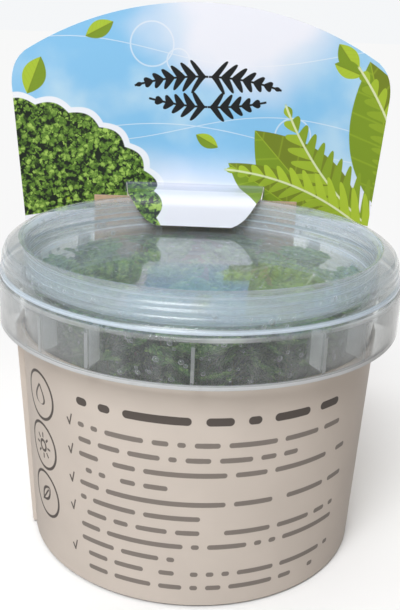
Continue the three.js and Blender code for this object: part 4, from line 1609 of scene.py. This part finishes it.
# %% Where the sprays stand
SPRAY_RINGS = ((9.0, 3, 7.4), (23.0, 8, 8.6), (37.3, 11, 9.6))
SPRAY_FOOT = 6.3
SPRAY_TOP = 70.6
SPRAY_SHORTEST = 63.0
LID_PRESS = 67.5
WALL_GAP = 0.35
LID_GAP = 0.12
SEED = 20261


def random_stream(seed):
    """A repeatable stream of numbers from 0 to 1, by a 32-bit multiply and shift."""
    state, mask = seed, 0xFFFFFFFF

    def draw():
        nonlocal state
        state = (state + 0x6D2B79F5) & mask
        t = ((state ^ state >> 15) * (1 | state)) & mask
        t = ((t + ((t ^ t >> 7) * (61 | t) & mask)) & mask) ^ t
        return (t ^ t >> 14) / 2**32

    return draw


def spray_places():
    """A dict for each spray, on three rings, every second ring turned by half a step."""
    draw = random_stream(SEED)
    places = []
    for row, (radius, count, reach) in enumerate(SPRAY_RINGS):
        for k in range(count):
            places.append(dict(
                radius=radius,
                reach=reach,
                angle=math.radians(360 * (k + 0.5 * (row % 2)) / count),
                turn=math.radians(-16 + 32 * draw()),
                twist=math.radians(-10 + 20 * draw()),
                top=SPRAY_SHORTEST + (SPRAY_TOP - SPRAY_SHORTEST) * math.sqrt(draw()),
                side=-1 if draw() < 0.5 else 1,
                sway=-1.2 + 2.4 * draw(),
            ))
    return places


def stand(points, place):
    """From a spray's own axes, across, outwards and up, to its place in the cup: arched outwards with
    height, twisted about the stem, turned, set at its radius, and kept clear of the wall. Near the lid
    heights are pressed together: a height h above LID_PRESS becomes room (1 - exp(-h / room))."""
    across, outwards, up = np.moveaxis(points, -1, 0)
    rise = np.clip(up - GEL_TOP, 0, None) / (SPRAY_TOP - GEL_TOP)
    arch = 0.055 * place["radius"] * rise**2 + place["sway"] * rise * (1 - rise) + 0.012 * across**2
    x, y = across, -(outwards + arch)
    a = place["twist"] * rise + place["turn"]
    x, y = x * np.cos(a) - y * np.sin(a), x * np.sin(a) + y * np.cos(a) - place["radius"]
    a = place["angle"]
    x, y = x * math.cos(a) - y * math.sin(a), x * math.sin(a) + y * math.cos(a)
    limit = bore_radius(up) - WALL_GAP
    keep = np.minimum(1, limit / np.maximum(np.hypot(x, y), 1e-6))
    room = PANEL_FOOT - LID_GAP - LID_PRESS
    above = np.clip(up - LID_PRESS, 0, None)
    level = np.where(up > LID_PRESS, LID_PRESS + room * (1 - np.exp(-above / room)), up)
    return np.stack([x * keep, y * keep, level], -1)


SPRAYS = spray_places()
print(len(SPRAYS), "sprays, up to", round(max(place["top"] for place in SPRAYS), 1), "mm high")

# %% [markdown]
# ### Twigs
# A spray holds three orders of twig. The first twigs leave the stem at an open angle, in the plane of the
# spray and around it. Each first twig forks into shorter ones. A twig's line is straight with a slow lift
# towards the light, so a length, a direction and a lift describe it fully.

# %% Twigs and leaves
TWIG_STEPS = 7
STEM_STEPS = 26
TUBE_SIDES = 5


def twig_lines(roots, directions, lengths, lift):
    """Lines of TWIG_STEPS points: root + s length direction, raised by lift s^2 times the length."""
    s = np.linspace(0, 1, TWIG_STEPS)
    lines = roots[:, None] + directions[:, None] * (lengths[:, None] * s)[..., None]
    lines[..., 2] += lift * lengths[:, None] * s**2
    return lines


def tubes(lines, thickness):
    """A closed tube round each line: a ring of TUBE_SIDES points at every step, square to the line, that
    thins towards the tip, and a single point at each end."""
    count, steps = lines.shape[:2]
    heading = unit(np.gradient(lines, axis=1))
    side = unit(np.cross(heading, [0.31, 0.17, 0.93]))
    other = np.cross(heading, side)
    t = np.linspace(0, 2 * math.pi, TUBE_SIDES, endpoint=False)
    taper = np.linspace(1, 0.35, steps)
    radius = (thickness[:, None] * taper)[..., None, None] / 2
    circle = side[:, :, None] * np.cos(t)[:, None] + other[:, :, None] * np.sin(t)[:, None]
    rings = lines[:, :, None] + radius * circle
    points = np.concatenate([rings.reshape(count, -1, 3), lines[:, :1], lines[:, -1:]], 1)
    quads = lattice_faces(TUBE_SIDES, steps, closed=True)
    quads = (quads % steps) * TUBE_SIDES + quads // steps
    k = np.arange(TUBE_SIDES)
    after = (k + 1) % TUBE_SIDES
    end = TUBE_SIDES * steps
    foot = np.stack([after, k, np.full(TUBE_SIDES, end)], -1)
    head = np.stack([end - TUBE_SIDES + k, end - TUBE_SIDES + after, np.full(TUBE_SIDES, end + 1)], -1)
    return points.reshape(-1, 3), repeated([quads, foot, head], count, points.shape[1])


LEAF_STATIONS = ((0.32, 0.42), (0.70, 0.34))
LEAF_THICK = 0.06
LEAF_TIP_LIFT = 0.06
LEAF_DIP = 0.175


def leaf_shape():
    """A closed lens one unit long: a base, two stations with left, upper, right and lower points, a tip.
    Its middle lies lower than its edges by LEAF_DIP times half its width."""
    points = [(0, 0, 0)]
    for along, half in LEAF_STATIONS:
        middle = -LEAF_DIP * half
        points += [(along, -half, 0), (along, 0, middle + LEAF_THICK)]
        points += [(along, half, 0), (along, 0, middle - LEAF_THICK)]
    points.append((1, 0, LEAF_TIP_LIFT))
    around = [(1, 2), (2, 3), (3, 4), (4, 1)]
    triangles = [(0, b, a) for a, b in around] + [(9, a + 4, b + 4) for a, b in around]
    quads = [(a, b, b + 4, a + 4) for a, b in around]
    return np.array(points, float), [np.array(quads), np.array(triangles)]


def leaves(roots, heading, normal, lengths):
    """Copies of the leaf: its length runs along heading and its face looks along normal."""
    across = unit(np.cross(normal, heading))
    axes = np.stack([heading, across, np.cross(heading, across)], 1)
    return copies(*leaf_shape(), roots, axes, lengths)


LEAF_ROWS = ((1, 0.25, 1.0), (-1, 0.25, 1.0), (0.0, 0.55, 0.62))
SIDE_LEAF_ANGLE = math.radians(58)
LEAF_LENGTH = 2.3


def leaf_rows(lines, normals, random):
    """Two rows of side leaves and one row of small upper leaves along every line, as LEAF_ROWS gives
    their side, lean and size. A leaf sits at each node, turned forward by its row's angle, and all shrink
    towards the twig's tip."""
    count, steps = lines.shape[:2]
    nodes = 2 * steps - 2
    s = np.linspace(0.04, 1.0, nodes)
    at = s * (steps - 1)
    low = np.clip(at.astype(int), 0, steps - 2)
    share = (at - low)[:, None]
    places = lines[:, low] * (1 - share) + lines[:, low + 1] * share
    heading = unit(lines[:, low + 1] - lines[:, low])
    across = unit(np.cross(normals[:, None], heading))
    normal = np.cross(heading, across)
    bodies = []
    for spread, lean, size in LEAF_ROWS:
        jitter = random.normal(0, 0.14, (3, count, nodes, 1))
        forward = math.cos(SIDE_LEAF_ANGLE) if spread else 1
        way = heading * forward + across * (spread * math.sin(SIDE_LEAF_ANGLE) + jitter[0])
        way = unit(way + normal * (jitter[1] * 0.8 if spread else lean + jitter[1]))
        length = LEAF_LENGTH * size * (1 - 0.45 * s**2) * (1 + random.normal(0, 0.10, (count, nodes)))
        face = unit(normal + across * jitter[2])
        bodies.append((places, way, face, length))
    parts = [np.concatenate([body[k].reshape(-1, 3) for body in bodies]) for k in range(3)]
    lengths = np.concatenate([body[3].ravel() for body in bodies])
    tone = np.tile(np.broadcast_to(s, (count, nodes)).ravel(), 3)
    return (*leaves(*parts, lengths), tone)


FIRST_TWIG = 17.0
PLANE_TWIGS = 11
ROUND_TWIGS = 12
CROWN_TWIGS = 7
TWIG_TURN = 2.4
FORKS = ((2, 1, 0.52), (3, -1, 0.45), (4, 1, 0.36))
FORK_ANGLE = math.radians(46)
STEM_THICKNESS = 0.85
TWIG_THICKNESS = 0.5
FORK_THINNING = 0.7


def spray_lines(place, random):
    """The stem and the twigs of a spray in its own axes, the way each twig's leaves face, and how many
    first twigs there are. Twigs leave the stem in the plane of the spray, all round it, each one TWIG_TURN
    radians past the last, and closer together in the crown. A fork leaves a first twig at the step, to
    the side and with the share of its length that FORKS gives."""
    top, reach = place["top"], place["reach"]
    stem = np.zeros((1, STEM_STEPS, 3))
    stem[0, :, 2] = np.linspace(SPRAY_FOOT, top, STEM_STEPS)

    def first(count, low, high, round_angles, open_low, open_high, share):
        height = np.linspace(low, high, count) + random.uniform(-0.8, 0.8, count)
        lean = np.radians(np.linspace(open_low, open_high, count) + random.uniform(-13, 13, count))
        flat = np.sin(lean)
        way = np.stack([flat * np.cos(round_angles), flat * np.sin(round_angles), np.cos(lean)], -1)
        length = reach * share * random.uniform(0.62, 1.0, count) / np.sin(lean)
        length = np.minimum(length, (PANEL_FOOT + 1.5 - height) / np.maximum(np.cos(lean), 0.2))
        roots = np.stack([np.zeros(count), np.zeros(count), height], -1)
        return roots, way, length

    alternate = np.where(np.arange(PLANE_TWIGS) % 2, math.pi, 0) + (0 if place["side"] > 0 else math.pi)
    groups = [
        first(PLANE_TWIGS, FIRST_TWIG, top - 5, alternate, 60, 48, 1.18),
        first(ROUND_TWIGS, FIRST_TWIG + 4, top - 4, np.arange(ROUND_TWIGS) * TWIG_TURN, 64, 54, 1.15),
        first(CROWN_TWIGS, top - 9, top - 1, np.arange(CROWN_TWIGS) * TWIG_TURN + 1, 68, 56, 1.25),
    ]
    roots, way, length = (np.concatenate(part) for part in zip(*groups))
    main = twig_lines(roots, way, length, 0.10)
    normals = unit(np.cross(way, np.cross([0, 0, 1.0], way)))
    flat_side = unit(np.cross(normals, way))
    lines = [main]
    for step, sense, size in FORKS:
        fork_way = unit(way * math.cos(FORK_ANGLE) + sense * flat_side * math.sin(FORK_ANGLE))
        lines.append(twig_lines(main[:, step], fork_way, length * size, 0.08))
    return stem, np.concatenate(lines), np.tile(normals, (len(lines), 1)), len(main)


def make_spray(name, place, seed):
    """Stem, twigs and leaves in one mesh, with each leaf's own shade and its youth: 0 at its twig's root
    and 1 at its tip. Wood has the shade -1."""
    random = np.random.default_rng(seed)
    stem, lines, normals, first_twigs = spray_lines(place, random)
    twig_width = TWIG_THICKNESS * np.where(np.arange(len(lines)) < first_twigs, 1, FORK_THINNING)
    foliage, leaf_faces, tone = leaf_rows(lines, normals, random)
    bodies = [tubes(stem, np.array([STEM_THICKNESS])), tubes(lines, twig_width), (foliage, leaf_faces)]
    points, faces = joined(*bodies)
    wood = sum(len(body[0]) for body in bodies[:2])
    points = stand(points, place)
    piece = make_piece(name, points, faces)
    per_leaf = len(leaf_shape()[0])
    shade = np.concatenate([np.full(wood, -1.0), np.repeat(random.uniform(0, 1, len(tone)), per_leaf)])
    youth = np.concatenate([np.zeros(wood), np.repeat(tone, per_leaf)])
    keep_values(piece, "leaf_shade", shade)
    keep_values(piece, "youth", youth)
    return piece


# %% Leaf finish
LEAF_OLD = linear(44, 92, 50)
LEAF_MID = linear(88, 138, 68)
LEAF_YOUNG = linear(172, 208, 118)
STEM_GREEN = linear(128, 146, 82)


def leaf_finish():
    """Each leaf has its own depth of green, young leaves near the tips are lighter, and the stems paler."""
    finish = Finish("spikemoss_leaf")
    x, y, z = finish.object_axes()
    shade, youth = finish.attribute("leaf_shade"), finish.attribute("youth")
    mottle = finish.noise(finish.place(x, y, z), 0.9, detail=3)
    depth = (shade * 0.6 + youth * 0.45 + (mottle - 0.5) * 0.5).high(0)
    colour = finish.mix(ramp(depth, 0.05, 0.55), LEAF_OLD, LEAF_MID)
    colour = finish.mix(ramp(depth, 0.55, 1.15), colour, LEAF_YOUNG)
    colour = finish.mix(1 - ramp(shade, -0.5, -0.2), colour, STEM_GREEN)
    normal = finish.bump(finish.noise(finish.place(x, y, z), 4.0, detail=2), 0.4, 0.05)
    leaf = finish.node("BsdfPrincipled", Base_Color=colour, Roughness=0.42, Normal=normal)
    leaf.inputs["Specular IOR Level"].default_value = 0.45
    return finish.done(leaf.outputs[0])


def add_sprays():
    finish = leaf_finish()
    for k, place in enumerate(SPRAYS):
        number = f"{k + 1:02d}"
        dress(make_spray("leafy_spray_" + number, place, SEED + k), finish, "leaves", "spray_" + number)


add_sprays()
